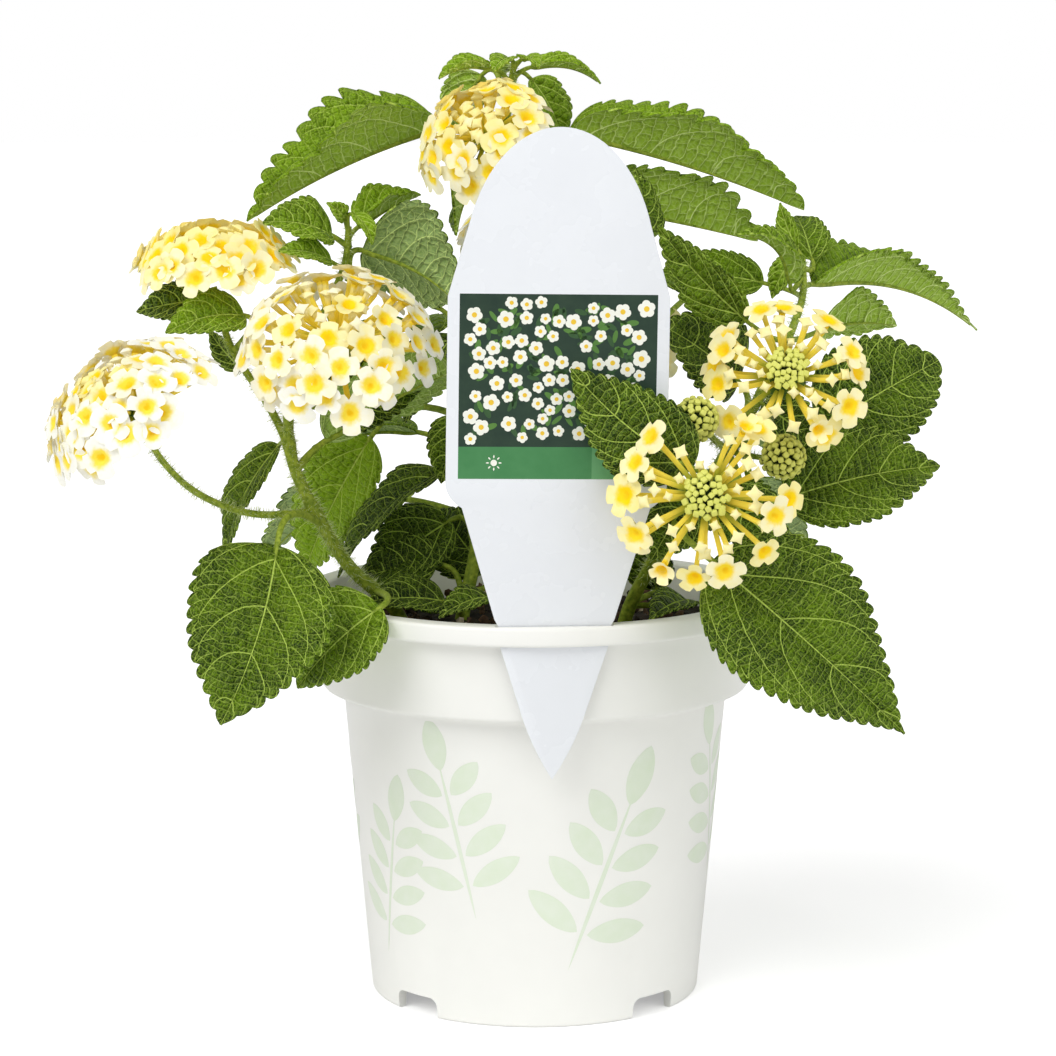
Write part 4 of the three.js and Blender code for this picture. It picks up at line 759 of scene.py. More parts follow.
class LantanaLeafSettings(bpy.types.PropertyGroup):
    """Sizes and colours of the leaves."""

    thickness: bpy.props.FloatProperty(
        name="Blade Thickness", description="How thick a leaf blade is", default=0.45 * MM, unit="LENGTH"
    )
    tooth_depth: bpy.props.FloatProperty(
        name="Tooth Depth", description="Depth of the deepest teeth of the margin", default=1.15 * MM,
        unit="LENGTH",
    )
    quilting: bpy.props.FloatProperty(
        name="Quilting", description="How far the blade puffs up between side veins, as a factor", default=1.0
    )
    # The dark and fresh colours are the two ends of a leaf's tone. Besides an old and a fresh leaf, they
    # stand for painted shade on leaves in shadow and painted light on leaves in the light.
    dark_colour: bpy.props.FloatVectorProperty(
        name="Dark Leaf", description="Colour of an old leaf", default=srgb(22, 46, 2)[:3], subtype="COLOR"
    )
    fresh_and_lit_colour: bpy.props.FloatVectorProperty(
        name="Fresh Leaf", description="Colour of a young leaf", default=srgb(134, 172, 18)[:3],
        subtype="COLOR",
    )
    vein_colour: bpy.props.FloatVectorProperty(
        name="Veins", description="Colour of the veins", default=srgb(192, 218, 98)[:3], subtype="COLOR"
    )


class LantanaFlowerSettings(bpy.types.PropertyGroup):
    """Sizes of the florets and buds."""

    floret_radius: bpy.props.FloatProperty(
        name="Floret Radius", description="Radius of an open floret", default=4.8 * MM, unit="LENGTH"
    )
    star_radius: bpy.props.FloatProperty(
        name="Star Bud Radius", description="Radius of a bud on its tube", default=2.05 * MM, unit="LENGTH"
    )
    bud_radius: bpy.props.FloatProperty(
        name="Bud Radius", description="Radius of a small closed bud", default=1.02 * MM, unit="LENGTH"
    )


class LantanaPotSettings(bpy.types.PropertyGroup):
    """Sizes of the pot and of what fills it."""

    wall: bpy.props.FloatProperty(
        name="Wall", description="Thickness of the pot's wall", default=1.5 * MM, unit="LENGTH"
    )
    crumbs: bpy.props.IntProperty(
        name="Crumbs", description="How many bark chips and dark crumbs lie on the soil", default=460
    )
    perlite: bpy.props.IntProperty(
        name="Perlite", description="How many beads of perlite lie among them", default=90
    )


class LantanaStageSettings(bpy.types.PropertyGroup):
    """The studio's light."""

    key_light: bpy.props.FloatProperty(
        name="Key Light", description="Strength of the large soft key light", default=1.55
    )
    room: bpy.props.FloatProperty(
        name="Room Light", description="Strength of the even light all round", default=0.48
    )


# ---- pot and what stands in it -------------------------------------------------------------------


def cut_with(body_bm, cutters_bm):
    """The first solid with the second one cut out of it, as a new bmesh."""
    for bm in (body_bm, cutters_bm):
        bmesh.ops.recalc_face_normals(bm, faces=bm.faces)
    body, cutters = (add_object("cut", mesh_from(bm, "cut")) for bm in (body_bm, cutters_bm))
    boolean = body.modifiers.new("Cut", "BOOLEAN")
    boolean.operation = "DIFFERENCE"
    boolean.solver = "EXACT"
    boolean.object = cutters
    cut = bmesh.new()
    cut.from_object(body, bpy.context.evaluated_depsgraph_get())
    for leftover in (body, cutters):
        bpy.data.objects.remove(leftover)
    return cut


BAND_FOOT = 76.8
BASE_RADIUS = 40.5
BODY_TOP_RADIUS = 47.3
BAND_RADIUS = 53.0
LIP_FOOT = 95.3
LIP_RADIUS = 57.5
FLOOR_TOP = 6.0
FOOT_RING = 2.2  # width of the ring that the pot stands on
NOTCH = (13.5, 8, 10)  # the block that cuts a drain notch
SLOT = (27.4, 6.7, 1.5)  # the block that cuts the label's slot: across, up and through the lip
INK = 0.02  # thickness of a printed layer


def wall_radius(height):
    """Outer radius of the pot's tapered body."""
    return BASE_RADIUS + (BODY_TOP_RADIUS - BASE_RADIUS) * height / BAND_FOOT


def label_plane():
    """Takes a point of the label, given as (across, up, out of its face), to its place in the pot."""
    tilt = Matrix.Translation((0, RIM_HEIGHT, 0)) @ Matrix.Rotation(-LABEL_TILT, 4, "Z")
    upright = Matrix.Rotation(pi / 2, 4, "X")
    return (
        Matrix.Rotation(LABEL_TURN, 4, "Z") @ Matrix.Translation((0, -LABEL_BACK, 0)) @ upright
        @ tilt @ Matrix.Translation((0, -RIM_HEIGHT, 0))
    )


class LANTANA_OT_pot(bpy.types.Operator):
    """Turns the nursery pot, with its lip, band, drain notches and label slot"""

    bl_idname = "lantana.pot"
    bl_label = "Nursery Pot"

    def execute(self, context):
        wall = context.scene.lantana_pot.wall / MM
        recess, ring = 3.9, BASE_RADIUS - FOOT_RING
        outside = [
            (0, recess), (ring, recess), (ring, 0), (BASE_RADIUS, 0),
            (wall_radius(BAND_FOOT - 1.5), BAND_FOOT - 1.5), (BAND_RADIUS - 0.5, BAND_FOOT),
            (BAND_RADIUS + 0.6, LIP_FOOT), (LIP_RADIUS, LIP_FOOT), (LIP_RADIUS, RIM_HEIGHT),
        ]
        inside = [
            (BAND_RADIUS + 0.5 - wall, RIM_HEIGHT), (BAND_RADIUS - 0.5 - wall, BAND_FOOT + wall),
            (wall_radius(BAND_FOOT) - wall, BAND_FOOT + wall - 1),
            (wall_radius(FLOOR_TOP) - wall, FLOOR_TOP), (0, FLOOR_TOP),
        ]
        body = spun(rounded(outside + inside, 0.9), 128)
        notch = self.notch_template()
        cutters = bmesh.new()
        for corner in range(4):
            stamp(cutters, notch, Matrix.Rotation(radians(45 + 90 * corner), 4, "Z"))
        slot = bmesh.ops.create_cube(cutters, size=1)["verts"]
        bmesh.ops.scale(cutters, vec=SLOT, verts=slot)
        bmesh.ops.translate(cutters, vec=(0, (LIP_FOOT + RIM_HEIGHT) / 2, LABEL_THICK / 2), verts=slot)
        bmesh.ops.transform(cutters, matrix=label_plane(), verts=slot)
        finish_piece(cut_with(body, cutters), "nursery_pot", ["pot"], "pot", "pot", creases=35)
        self.print_sprigs()
        return {"FINISHED"}

    def notch_template(self):
        """The block that cuts one drain notch: its top corners are round."""
        bm = bmesh.new()
        bmesh.ops.create_cube(bm, size=1)
        bmesh.ops.scale(bm, vec=NOTCH, verts=bm.verts)
        along = [
            edge for edge in bm.edges
            if all(vert.co.z > 0 for vert in edge.verts) and edge.verts[0].co.x == edge.verts[1].co.x
        ]
        bmesh.ops.bevel(bm, geom=along, offset=2.2, segments=5, affect="EDGES", profile=0.5, material=-1)
        bmesh.ops.translate(bm, vec=(0, 1 - BASE_RADIUS, 0), verts=bm.verts)
        return template_from(bm, "notch")

    def print_sprigs(self):
        """Large pale sprigs printed round the pot's wall."""
        bm = bmesh.new()
        for spot, height, lean, size in (
            (-25, 48, 12, 1.0), (22, 38, -20, 1.15), (72, 50, 16, 1.0), (118, 36, -14, 1.1),
            (165, 48, 10, 1.05), (212, 38, -18, 1.0), (262, 50, 14, 1.1), (307, 34, -12, 0.95),
        ):
            self.print_sprig(bm, radians(spot), height, radians(lean), size)
        finish_piece(bm, "pot_sprig_print", ["pale_print"], "pot")

    def print_sprig(self, bm, spot, height, lean, size):
        leaflets = [(0.0, 15.0, 0.0, 13.0, 6.0)]
        for pair in range(4):
            for side in (-1, 1):
                up = 9.0 - 7.5 * pair
                leaflets.append((side * 1.2, up, -side * (50 + 6 * pair), 11.0 + pair, 5.2))
        leaflets.append((0.0, -22.0, 0.0, 40.0, 1.0))
        for across, up, turn, length, width in leaflets:
            grid = bmesh.ops.create_grid(bm, x_segments=6, y_segments=14, size=1)["verts"]
            swing = Matrix.Rotation(radians(turn), 2)
            whole = Matrix.Rotation(lean, 2)
            for vert in grid:
                along = (vert.co.y + 1) / 2
                flat = Vector((vert.co.x * width / 2 * sin(pi * along) ** 0.7, along * length))
                flat = (whole @ (swing @ flat + Vector((across, up)))) * size
                angle = spot + flat.x / 44
                z = height + flat.y
                radius = wall_radius(z) + 1.5 * INK
                vert.co = Vector((sin(angle) * radius, -cos(angle) * radius, z))
            thicken(bm, faces_of(grid), INK)
        bmesh.ops.remove_doubles(bm, verts=bm.verts, dist=1e-5)


class LANTANA_OT_soil(bpy.types.Operator):
    """Fills the pot with potting mix, with bark chips and perlite on top"""

    bl_idname = "lantana.soil"
    bl_label = "Potting Mix"

    def execute(self, context):
        settings = context.scene.lantana_pot
        ring_gap = 0.6
        top = [(ring_gap * ring, SOIL_LEVEL) for ring in range(84)]
        # the sides and the foot stay a little inside the pot
        bm = spun([*top, (top[-1][0], 79.5), (45.2, 78.2), (39.2, 6.4), (0, 6.4)], 110)
        for vert in bm.verts:
            if vert.co.z > SOIL_LEVEL - 1:
                coarse = noise.noise(vert.co * 0.14) * 1.7 + noise.noise(vert.co * 0.45) * 0.9
                fine = noise.noise(vert.co * 1.3) * 0.45
                vert.co.z += coarse + fine - 0.9 * smoothstep(44, 50, vert.co.xy.length)
        finish_piece(bm, "potting_mix", ["soil"], "soil", "soil", creases=70)
        draw = random.Random(5)
        bm = bmesh.new()
        for count, material, low, high, squash in (
            (settings.crumbs // 2, 0, 0.6, 1.6, 0.7), (settings.crumbs // 2, 1, 0.8, 2.4, 0.45),
            (settings.perlite, 2, 0.7, 1.5, 0.85),
        ):
            for _ in range(count):
                self.drop_crumb(bm, draw, material, draw.uniform(low, high), squash)
        finish_piece(bm, "bark_and_perlite", ["soil", "bark", "perlite"], "soil", creases=25)
        return {"FINISHED"}

    def drop_crumb(self, bm, draw, material, size, squash):
        angle = draw.uniform(0, 2 * pi)
        out = 49.2 * sqrt(draw.random())
        made = bmesh.ops.create_icosphere(bm, subdivisions=1, radius=size)["verts"]
        stretch = (1, draw.uniform(0.5, 0.9), squash)
        bmesh.ops.scale(bm, vec=stretch, verts=made)
        for vert in made:
            vert.co *= draw.uniform(0.75, 1.2)
        spin = Euler([draw.uniform(0, 2 * pi) for _ in range(3)]).to_matrix().to_4x4()
        rest = Vector((cos(angle) * out, sin(angle) * out, SOIL_LEVEL + 0.3 + 0.3 * size))
        bmesh.ops.transform(bm, matrix=Matrix.Translation(rest) @ spin, verts=made)
        paint(faces_of(made), material)


# ---- label ---------------------------------------------------------------------------------------


def label_half_outline():
    """The right-hand edge of the label from its foot to its top, as (across, up)."""
    edge = [bezier([(0, LABEL_FOOT), (4.6, 71), (6.9, 77.7)], t / 5) for t in range(6)]
    edge += [Vector((12.5, 95)), Vector((12.7, 99.3)), Vector((13.9, 101.5))]
    edge += [bezier([(21.7, 127.4), (25.3, 129.6), (25.5, 133)], t / 8) for t in range(9)]
    edge += [Vector((25.4, 176))]
    edge += [bezier([(20.8, 192), (17.5, 206), (9, LABEL_TOP), (0, LABEL_TOP)], t / 16) for t in range(17)]
    return edge


LABEL_INKS = ("panel", "band", "band_light", "white_print", "yellow_print", "green_print", "deep_print")
PANEL_SIDES = (-22.7, 22.6)
PANEL_TOP = 176.6
BAND_TOP = 141.6
BAND_BASE = 134.2
BAND_SPLIT = 8.0  # where its dark part ends and its light part begins
PANEL_EDGE = 3.2  # the middles of the printed leaves stay this far inside the panel
BLOSSOM_EDGE = 0.3  # and whole blossoms this far


class LANTANA_OT_label(bpy.types.Operator):
    """Makes the plant label that stands in the slot of the pot's lip, with its generic print"""

    bl_idname = "lantana.label"
    bl_label = "Plant Label"

    def execute(self, context):
        bm = bmesh.new()
        verts = [bm.verts.new((x, y, 0)) for x, y in label_half_outline()]
        edges = [bm.edges.new(pair) for pair in zip(verts, verts[1:])]
        bmesh.ops.mirror(bm, geom=verts + edges, merge_dist=1e-4, axis="X")
        bmesh.ops.remove_doubles(bm, verts=bm.verts, dist=1e-4)
        faces = bmesh.ops.holes_fill(bm, edges=bm.edges[:], sides=0)["faces"]
        sheet = bmesh.ops.extrude_face_region(bm, geom=faces)["geom"]
        lifted = [item for item in sheet if isinstance(item, bmesh.types.BMVert)]
        bmesh.ops.translate(bm, vec=(0, 0, LABEL_THICK), verts=lifted)
        bmesh.ops.recalc_face_normals(bm, faces=bm.faces)
        rim = [e for e in bm.edges if len(e.link_faces) == 2 and e.calc_face_angle(0) > 1.2]
        bmesh.ops.bevel(bm, geom=rim, offset=0.14, segments=2, affect="EDGES", profile=0.5, material=-1)
        bmesh.ops.transform(bm, matrix=label_plane(), verts=bm.verts)
        finish_piece(bm, "label_stake", ["label"], "label", "plant_label", creases=60)
        self.print_panel()
        return {"FINISHED"}

    def print_panel(self):
        """A dark panel scattered with small plain blossoms over a band with a sun and a drop."""
        bm = bmesh.new()
        left, right = PANEL_SIDES
        self.add_rectangle(bm, PANEL_SIDES, (BAND_TOP, PANEL_TOP), "panel")
        self.add_rectangle(bm, (left, BAND_SPLIT), (BAND_BASE, BAND_TOP), "band")
        self.add_rectangle(bm, (BAND_SPLIT, right), (BAND_BASE, BAND_TOP), "band_light")
        draw = random.Random(8)
        for _ in range(150):
            x = draw.uniform(left + PANEL_EDGE, right - PANEL_EDGE)
            y = draw.uniform(BAND_TOP + PANEL_EDGE, PANEL_TOP - PANEL_EDGE)
            turn = draw.uniform(0, 2 * pi)
            width = draw.uniform(1.0, 1.5)
            ink = draw.choice(("green_print", "deep_print"))
            self.add_oval(bm, (x, y), turn, -1.5, 1.5, width, ink, 0.03)
        spots = []
        for _ in range(1500):
            size = draw.uniform(1.3, 2.1)
            room = size + BLOSSOM_EDGE
            x = draw.uniform(left + room, right - room)
            y = draw.uniform(BAND_TOP + room, PANEL_TOP - room)
            crowded = any(hypot(x - a, y - b) < 0.92 * (size + other) for a, b, other in spots)
            if not crowded and noise.noise(Vector((0.13 * x, 0.13 * y, 3.0))) > -0.22:
                spots.append((x, y, size))
        for x, y, size in spots:
            self.add_blossom(bm, (x, y), size, draw.uniform(0, 2 * pi))
        self.add_sun(bm, (-14.5, 137.9), 1.5)
        self.add_drop(bm, (15.3, 137.7), 1.7)
        bmesh.ops.transform(bm, matrix=label_plane(), verts=bm.verts)
        finish_piece(bm, "label_print", LABEL_INKS, "label")

    def add_blossom(self, bm, centre, size, turn):
        for petal in range(5):
            angle = turn + petal * 2 * pi / 5
            height = 0.05 + 0.004 * petal
            self.add_oval(bm, centre, angle, 0.1 * size, size, 0.95 * size, "white_print", height)
        self.add_oval(bm, centre, 0, -0.32 * size, 0.32 * size, 0.64 * size, "yellow_print", 0.08)

    def lift_layer(self, bm, verts, ink, height):
        """Lays flat verts on the label's face and gives the layer its thickness."""
        faces = faces_of(verts)
        paint(faces, LABEL_INKS.index(ink))
        bmesh.ops.translate(bm, vec=(0, 0, LABEL_THICK + height), verts=verts)
        thicken(bm, faces, INK)

    def add_rectangle(self, bm, across, up, ink):
        verts = bmesh.ops.create_grid(bm, x_segments=1, y_segments=1, size=0.5)["verts"]
        bmesh.ops.scale(bm, vec=(across[1] - across[0], up[1] - up[0], 1), verts=verts)
        bmesh.ops.translate(bm, vec=(sum(across) / 2, sum(up) / 2, 0), verts=verts)
        self.lift_layer(bm, verts, ink, INK)

    def add_oval(self, bm, centre, angle, start, end, width, ink, height):
        """A petal that runs from start to end along a direction."""
        verts = bmesh.ops.create_circle(bm, cap_ends=True, segments=12, radius=0.5)["verts"]
        place = Matrix.Translation((*centre, 0)) @ Matrix.Rotation(angle, 4, "Z")
        place = place @ Matrix.Translation(((start + end) / 2, 0, 0))
        place = place @ Matrix.Diagonal((end - start, width, 1, 1))
        bmesh.ops.transform(bm, matrix=place, verts=verts)
        self.lift_layer(bm, verts, ink, height)

    def add_sun(self, bm, centre, size):
        self.add_oval(bm, centre, 0, -size * 0.5, size * 0.5, size, "white_print", 0.05)
        for ray in range(8):
            angle = ray * pi / 4
            self.add_oval(bm, centre, angle, size * 0.72, size * 1.2, size * 0.22, "white_print", 0.05)

    def add_drop(self, bm, centre, size):
        verts = bmesh.ops.create_circle(bm, cap_ends=True, segments=16, radius=size * 0.7)["verts"]
        for vert in verts:
            if vert.co.y > 0:
                rise = vert.co.y / (size * 0.7)
                vert.co.x *= 1 - 0.85 * rise ** 1.5
                vert.co.y *= 1 + 0.75 * rise
        bmesh.ops.translate(bm, vec=(*centre, 0), verts=verts)
        self.lift_layer(bm, verts, "white_print", 0.05)


# ---- stems ---------------------------------------------------------------------------------------


SLIMMER = 0.88  # a shoot's skin against its solid, which is made thick enough to stand
HAIRS_PER_MM = 12


def hair_template():
    bm = bmesh.new()
    bmesh.ops.create_cone(bm, cap_ends=True, segments=3, radius1=0.055, radius2=0.01, depth=1)
    bmesh.ops.translate(bm, vec=(0, 0, 0.5), verts=bm.verts)
    return template_from(bm, "hair", 1)


class LANTANA_OT_stems(bpy.types.Operator):
    """Grows the square green stems with their nodes and hairs"""

    bl_idname = "lantana.stems"
    bl_label = "Stems"

    def execute(self, context):
        hair = hair_template()
        for name, runs in STEMS.items():
            bm = bmesh.new()
            draw = random.Random(name)
            joints = [Vector(run.through[0]) for run in runs[1:]]
            for run in runs:
                self.grow(bm, run, joints, hair, draw)
            finish_piece(bm, "shoot_" + name, ["stalk", "hair"], "stem", "stem_" + name, creases=60)
        return {"FINISHED"}

    def grow(self, bm, run, joints, hair, draw):
        steps = 8 * (len(run.through) - 1)
        centres = shoot_path(run.through, steps)
        swell = [
            1 + 0.28 * max([exp(-(((centre - joint).length / 2.6) ** 2)) for joint in joints] + [0])
            for centre in centres
        ]

        def radius_at(share, angle):
            plain = SLIMMER * (run.radii[0] + (run.radii[1] - run.radii[0]) * share)
            return plain * swell[round(share * steps)] * (1 + 0.07 * cos(4 * angle))

        frames = add_tube(bm, centres, radius_at, 12)
        length = sum((b - a).length for a, b in zip(centres, centres[1:]))
        for _ in range(int(length * HAIRS_PER_MM)):
            spot = draw.uniform(0.3 if run.radii[0] > 1.8 else 0.02, 0.99)
            step = int(spot * steps)
            centre, right, up = frames[step]
            centre = centre.lerp(centres[step + 1], spot * steps - step)
            angle = draw.uniform(0, 2 * pi)
            out = spoke(right, up, angle)
            lean = (out + right.cross(up) * draw.uniform(-0.5, 0.3)).normalized()
            size = Matrix.Scale(draw.uniform(0.8, 1.8), 4)
            root = centre + out * radius_at(spot, angle) * 0.95
            stamp(bm, hair, Matrix.Translation(root) @ turned_to(lean) @ size)


# ---- leaves --------------------------------------------------------------------------------------

FULLNESS = 0.52  # how round the base of a blade is
BASE_ROWS = 8  # rows of the blade before its first tooth
ROWS_PER_TOOTH = 6
TOOTHLESS = 0.1  # share of the length
VEINS_A_SIDE = 3.8  # side veins between the base of the midrib and the tip
VEINS_BELOW = 2.2  # how closely the lowest vein's own branches lie
VEIN_SWEEP = 0.62  # how far towards the tip a side vein has run when it reaches the margin
VEIN_BEND = 0.5  # how much of that comes as an even bend, after a straight start


def ovate(share, widest):
    """Share of the full half width at a place along the midrib."""
    taper = FULLNESS * (1 - widest) / widest
    return (share / widest) ** FULLNESS * (max(0.0, 1 - share) / (1 - widest)) ** taper


def row_of_blade(row, rows):
    """For a row of the blade: its tooth, its share of the length, and how far its tooth bulges there."""
    if row <= BASE_ROWS:
        return 0, TOOTHLESS * (row / BASE_ROWS) ** 1.8, 1.0
    tooth, step = divmod(row - BASE_ROWS, ROWS_PER_TOOTH)
    share = TOOTHLESS + (1 - TOOTHLESS) * (row - BASE_ROWS) / (rows - BASE_ROWS)
    return tooth, share, sqrt(sin(pi * (step / ROWS_PER_TOOTH) ** 1.35))


def quilting(leaf, share, u, phase):
    """How far the blade puffs up between two side veins, in millimetres."""
    edge = abs(u)
    puff = (0.08 + 0.011 * leaf.width) * abs(sin(pi * phase)) ** 0.7
    puff *= smoothstep(0.03, 0.3, edge) * (1 - 0.6 * smoothstep(0.7, 1.0, edge))
    return puff * smoothstep(0, 0.08, share) * min(1.0, ovate(share, leaf.widest) + 0.2)


class Midrib:
    """The curve that a leaf's blade follows, and the directions of its blade."""

    def __init__(self, leaf):
        self.base, self.tip = Vector(leaf.base), Vector(leaf.tip)
        along = (self.tip - self.base).normalized()
        faces = Vector(leaf.faces)
        up = (faces - along * faces.dot(along)).normalized()
        self.side = along.cross(up)
        self.crown = self.base.lerp(self.tip, 0.5) + up * 2 * leaf.arch + self.side * 2 * leaf.sweep
        self.length = (self.tip - self.base).length + 0.6 * leaf.arch

    def point(self, t):
        return bezier((self.base, self.crown, self.tip), t)

    def tangent(self, t):
        return ((self.crown - self.base) * (1 - t) + (self.tip - self.crown) * t).normalized()

    def stalk(self, foot, bend):
        """The stalk's path from the stem to the base of the blade."""
        foot = Vector(foot)
        approach = self.base - self.tangent(0) * bend * (self.base - foot).length
        controls = (foot, foot.lerp(approach, 0.5), approach, self.base)
        return [bezier(controls, step / 10) for step in range(11)]


def vein_phase(share, u):
    """Counts the side veins along the blade: a side vein lies wherever this is a whole number."""
    edge = min(1.0, abs(u))
    swept = 1 - VEIN_SWEEP * edge * (1 - VEIN_BEND + VEIN_BEND * edge)
    side = 0.72 + 0.12 * max(-1.0, min(1.0, u / 0.3))
    start = 1 - (1 - share) / swept
    if start < 0:
        return side - VEINS_BELOW * log(1 - start)
    return side + VEINS_A_SIDE * start


def vein_spacing(leaf, length, share, u):
    """How far apart two side veins are at a place of the blade, in millimetres."""
    step = 0.01
    share = min(0.96, max(0.02, share))
    half = leaf.width / 2 * ovate(share, leaf.widest)
    wider = ovate(share + step, leaf.widest) / ovate(share, leaf.widest)
    along = (vein_phase(share + step, u / wider) - vein_phase(share, u)) / (step * length)
    across = (vein_phase(share, u + step) - vein_phase(share, u)) / (step * half)
    return 1 / hypot(along, across)


class LANTANA_OT_leaves(bpy.types.Operator):
    """Makes every leaf: a quilted, folded blade with a toothed margin on its stalk"""

    bl_idname = "lantana.leaves"
    bl_label = "Leaves"

    def execute(self, context):
        self.settings = context.scene.lantana_leaves
        for name, leaf in LEAVES.items():
            self.make_leaf("blade_" + name, leaf, "leaf_" + name)
        for stem, leaves in SMALL_LEAVES.items():
            for number, leaf in enumerate(leaves, 1):
                self.make_leaf(f"small_blade_{stem}_{number}", leaf, "stem_" + stem)
        return {"FINISHED"}

    def make_leaf(self, name, leaf, node):
        bm = bmesh.new()
        midrib = Midrib(leaf)
        self.add_blade(bm, leaf, midrib, random.Random(name))
        self.add_stalk(bm, leaf, midrib)
        # A high tone, which is partly painted light, counts as a fresh leaf here.
        slot = "fresh_leaf" if leaf.tone > 0.68 else "leaf"
        finish_piece(bm, name, ["leaf", "under", "stalk"], slot, node, creases=75)

    def add_stalk(self, bm, leaf, midrib):
        """The leaf stalk, which runs on under the blade as its midrib."""
        stalk = midrib.stalk(leaf.stalk_foot, leaf.stalk_bend)
        slim = min(1.0, 0.55 + leaf.width / 60)
        rib = []
        for step in range(1, 21):
            t = step / 21
            up = midrib.side.cross(midrib.tangent(t))
            rib.append(midrib.point(t) - up * (0.2 + slim * (0.62 - 0.5 * t) * min(1, 12 * t)))
        centres = stalk + rib
        turn = len(stalk) / len(centres)

        def radius_at(share, angle):
            if share < turn:
                return slim * (1.05 - 0.35 * share / turn)
            return slim * (0.7 - 0.56 * (share - turn) / (1 - turn))

        add_tube(bm, centres, radius_at, 8, material=2)

    def add_blade(self, bm, leaf, midrib, draw):
        length = midrib.length
        pitch = min(3.3, max(1.5, 1.1 + 0.045 * length)) * (1.35 if leaf.fold > 45 else 1)
        teeth = max(6, round(length * (1 - TOOTHLESS) / pitch))
        rows = BASE_ROWS + ROWS_PER_TOOTH * teeth
        columns = 20 if leaf.width > 14 else 14
        deepest = min(self.settings.tooth_depth / MM, 0.04 * leaf.width + 0.15) * pitch / 2.6 * 1.1
        depths = {(tooth, side): deepest * draw.uniform(0.7, 1.2)
                  for tooth in range(teeth + 1) for side in (True, False)}
        fold = radians(leaf.fold)
        blade, share_layer, tone = (
            bm.verts.layers.float_vector.new(name) for name in ("blade", "leaf", "tone")
        )
        grid = bmesh.ops.create_grid(bm, x_segments=columns, y_segments=rows, size=1)["verts"]
        drift = Vector((draw.uniform(0, 50), draw.uniform(0, 50), 0))
        for vert in grid:
            u = 0.55 * vert.co.x + 0.45 * sin(vert.co.x * pi / 2)
            row = round((vert.co.y + 1) / 2 * rows)
            tooth, t, bump = row_of_blade(row, rows)
            edge = abs(u)
            outline = ovate(t, leaf.widest)
            full = leaf.width / 2 * outline
            half = max(0.3 if t > 0.5 else 0.6, full)
            depth = depths[tooth, u > 0] * min(1.0, outline + 0.3)
            reach = smoothstep(1 - min(0.9, max(0.22, 2.4 * depth / half)), 1.0, edge)
            notch = min(depth, 0.5 * half) * (1 - bump) * reach
            inward = edge - notch / half
            across = copysign(inward * half, u)
            rise = sin(fold) * (1.5 * inward - 0.5 * inward * inward)
            ripple = 0.06 * sin(4 * pi * t + leaf.width) * edge * edge
            wave = 0.09 * noise.noise(drift + Vector((2.2 * u, 5 * t, 0))) * edge
            phase = vein_phase(t, u)
            quilt = self.settings.quilting * quilting(leaf, t, u, phase)
            groove = 0.3 * exp(-((across / 0.9) ** 2)) * min(1, half / 4)
            curl = 0.35 * depth * bump * reach
            lift = full * (rise + ripple + wave) + quilt - groove - curl + 0.2 - notch * sin(fold)
            tangent = midrib.tangent(t)
            up = midrib.side.cross(tangent)
            place = midrib.point(t) + midrib.side * across * cos(fold) + up * lift
            vert.co = place + tangent * depth * bump * reach * 0.6
            branch = teeth * (t - TOOTHLESS) / (1 - TOOTHLESS) + 1.6 * (1 - edge * edge)
            vert[blade] = (across, t * length, phase)
            vert[share_layer] = (u, t, vein_spacing(leaf, length, t, u))
            vert[tone] = (leaf.tone, branch, (1 - TOOTHLESS) * length / teeth)
        top = faces_of(grid)
        thicken(bm, top, self.settings.thickness / MM)
        above = {vert for face in top for vert in face.verts}
        paint([face for face in bm.faces if not above.intersection(face.verts)], 1)


# ---- flower heads --------------------------------------------------------------------------------

GOLDEN_ANGLE = pi * (3 - sqrt(5))
BUDS_A_HEAD = 74  # on a head that is still all in bud
BUD_HEAD_ROOM = 6.8  # florets in front of a bud head stay this far from its middle
CUP_RISE = 3.2  # how far the rim of a fully cupped floret comes forward
CUP_NARROWING = 0.42  # the share by which its lobes draw in


def mark_bloom(bm, radius, tube_from, length, least=0.0):
    """Notes on each vertex how far out on the lobes it is, or 1 to 2 down the tube, and where the tube is."""
    bloom = bm.verts.layers.float_vector.new("bloom")
    for vert in bm.verts:
        out = max(least, min(1.0, vert.co.xy.length / radius))
        on_tube = smoothstep(0, 1.2, tube_from - vert.co.z)
        vert[bloom] = (1 - vert.co.z / length if on_tube > 0.9 else out, 0.0, on_tube)


def add_flower_tube(bm, start, length):
    """The slim tube behind a floret or a bud, with rings for it to bend at."""
    centres = [Vector((0, 0, -start - (length - start) * share)) for share in (0, 0.2, 0.5, 1)]
    add_tube(bm, centres, lambda share, angle: 0.85 - 0.2 * min(1, 2 * share), 6)


def floret_template(lobes, radius, length):
    """An open floret with its face at the origin, its lobes round +Z and its tube behind."""
    profile = [(0, -1.0), (0.2 * radius, -0.35), (0.42 * radius, 0.25), (radius, 0.2),
               (0.45 * radius, -0.3), (0, -1.7)]
    bm = spun(profile, 3 * lobes)
    outer = [v for v in bm.verts if v.co.xy.length > 0.98 * radius]
    rim = [e for e in bm.edges if all(v in outer for v in e.verts)]
    bmesh.ops.subdivide_edges(bm, edges=rim, cuts=1)
    for vert in bm.verts:
        if vert.co.xy.length > 0.8 * radius:
            angle = atan2(vert.co.y, vert.co.x)
            lobe = abs(cos(lobes * angle / 2))
            reach = radius * (0.64 + 0.36 * (1 - (1 - lobe) ** 2.6)) * (1 + 0.09 * cos(angle))
            flat = vert.co.xy.normalized() * reach
            wave = 0.3 * sin(2 * angle + lobes)
            vert.co = Vector((flat.x, flat.y, 0.45 - 0.5 * lobe ** 2 + wave))
    add_flower_tube(bm, 1.2, length)
    mark_bloom(bm, radius, -0.8, length)
    return template_from(bm, f"floret {lobes}")


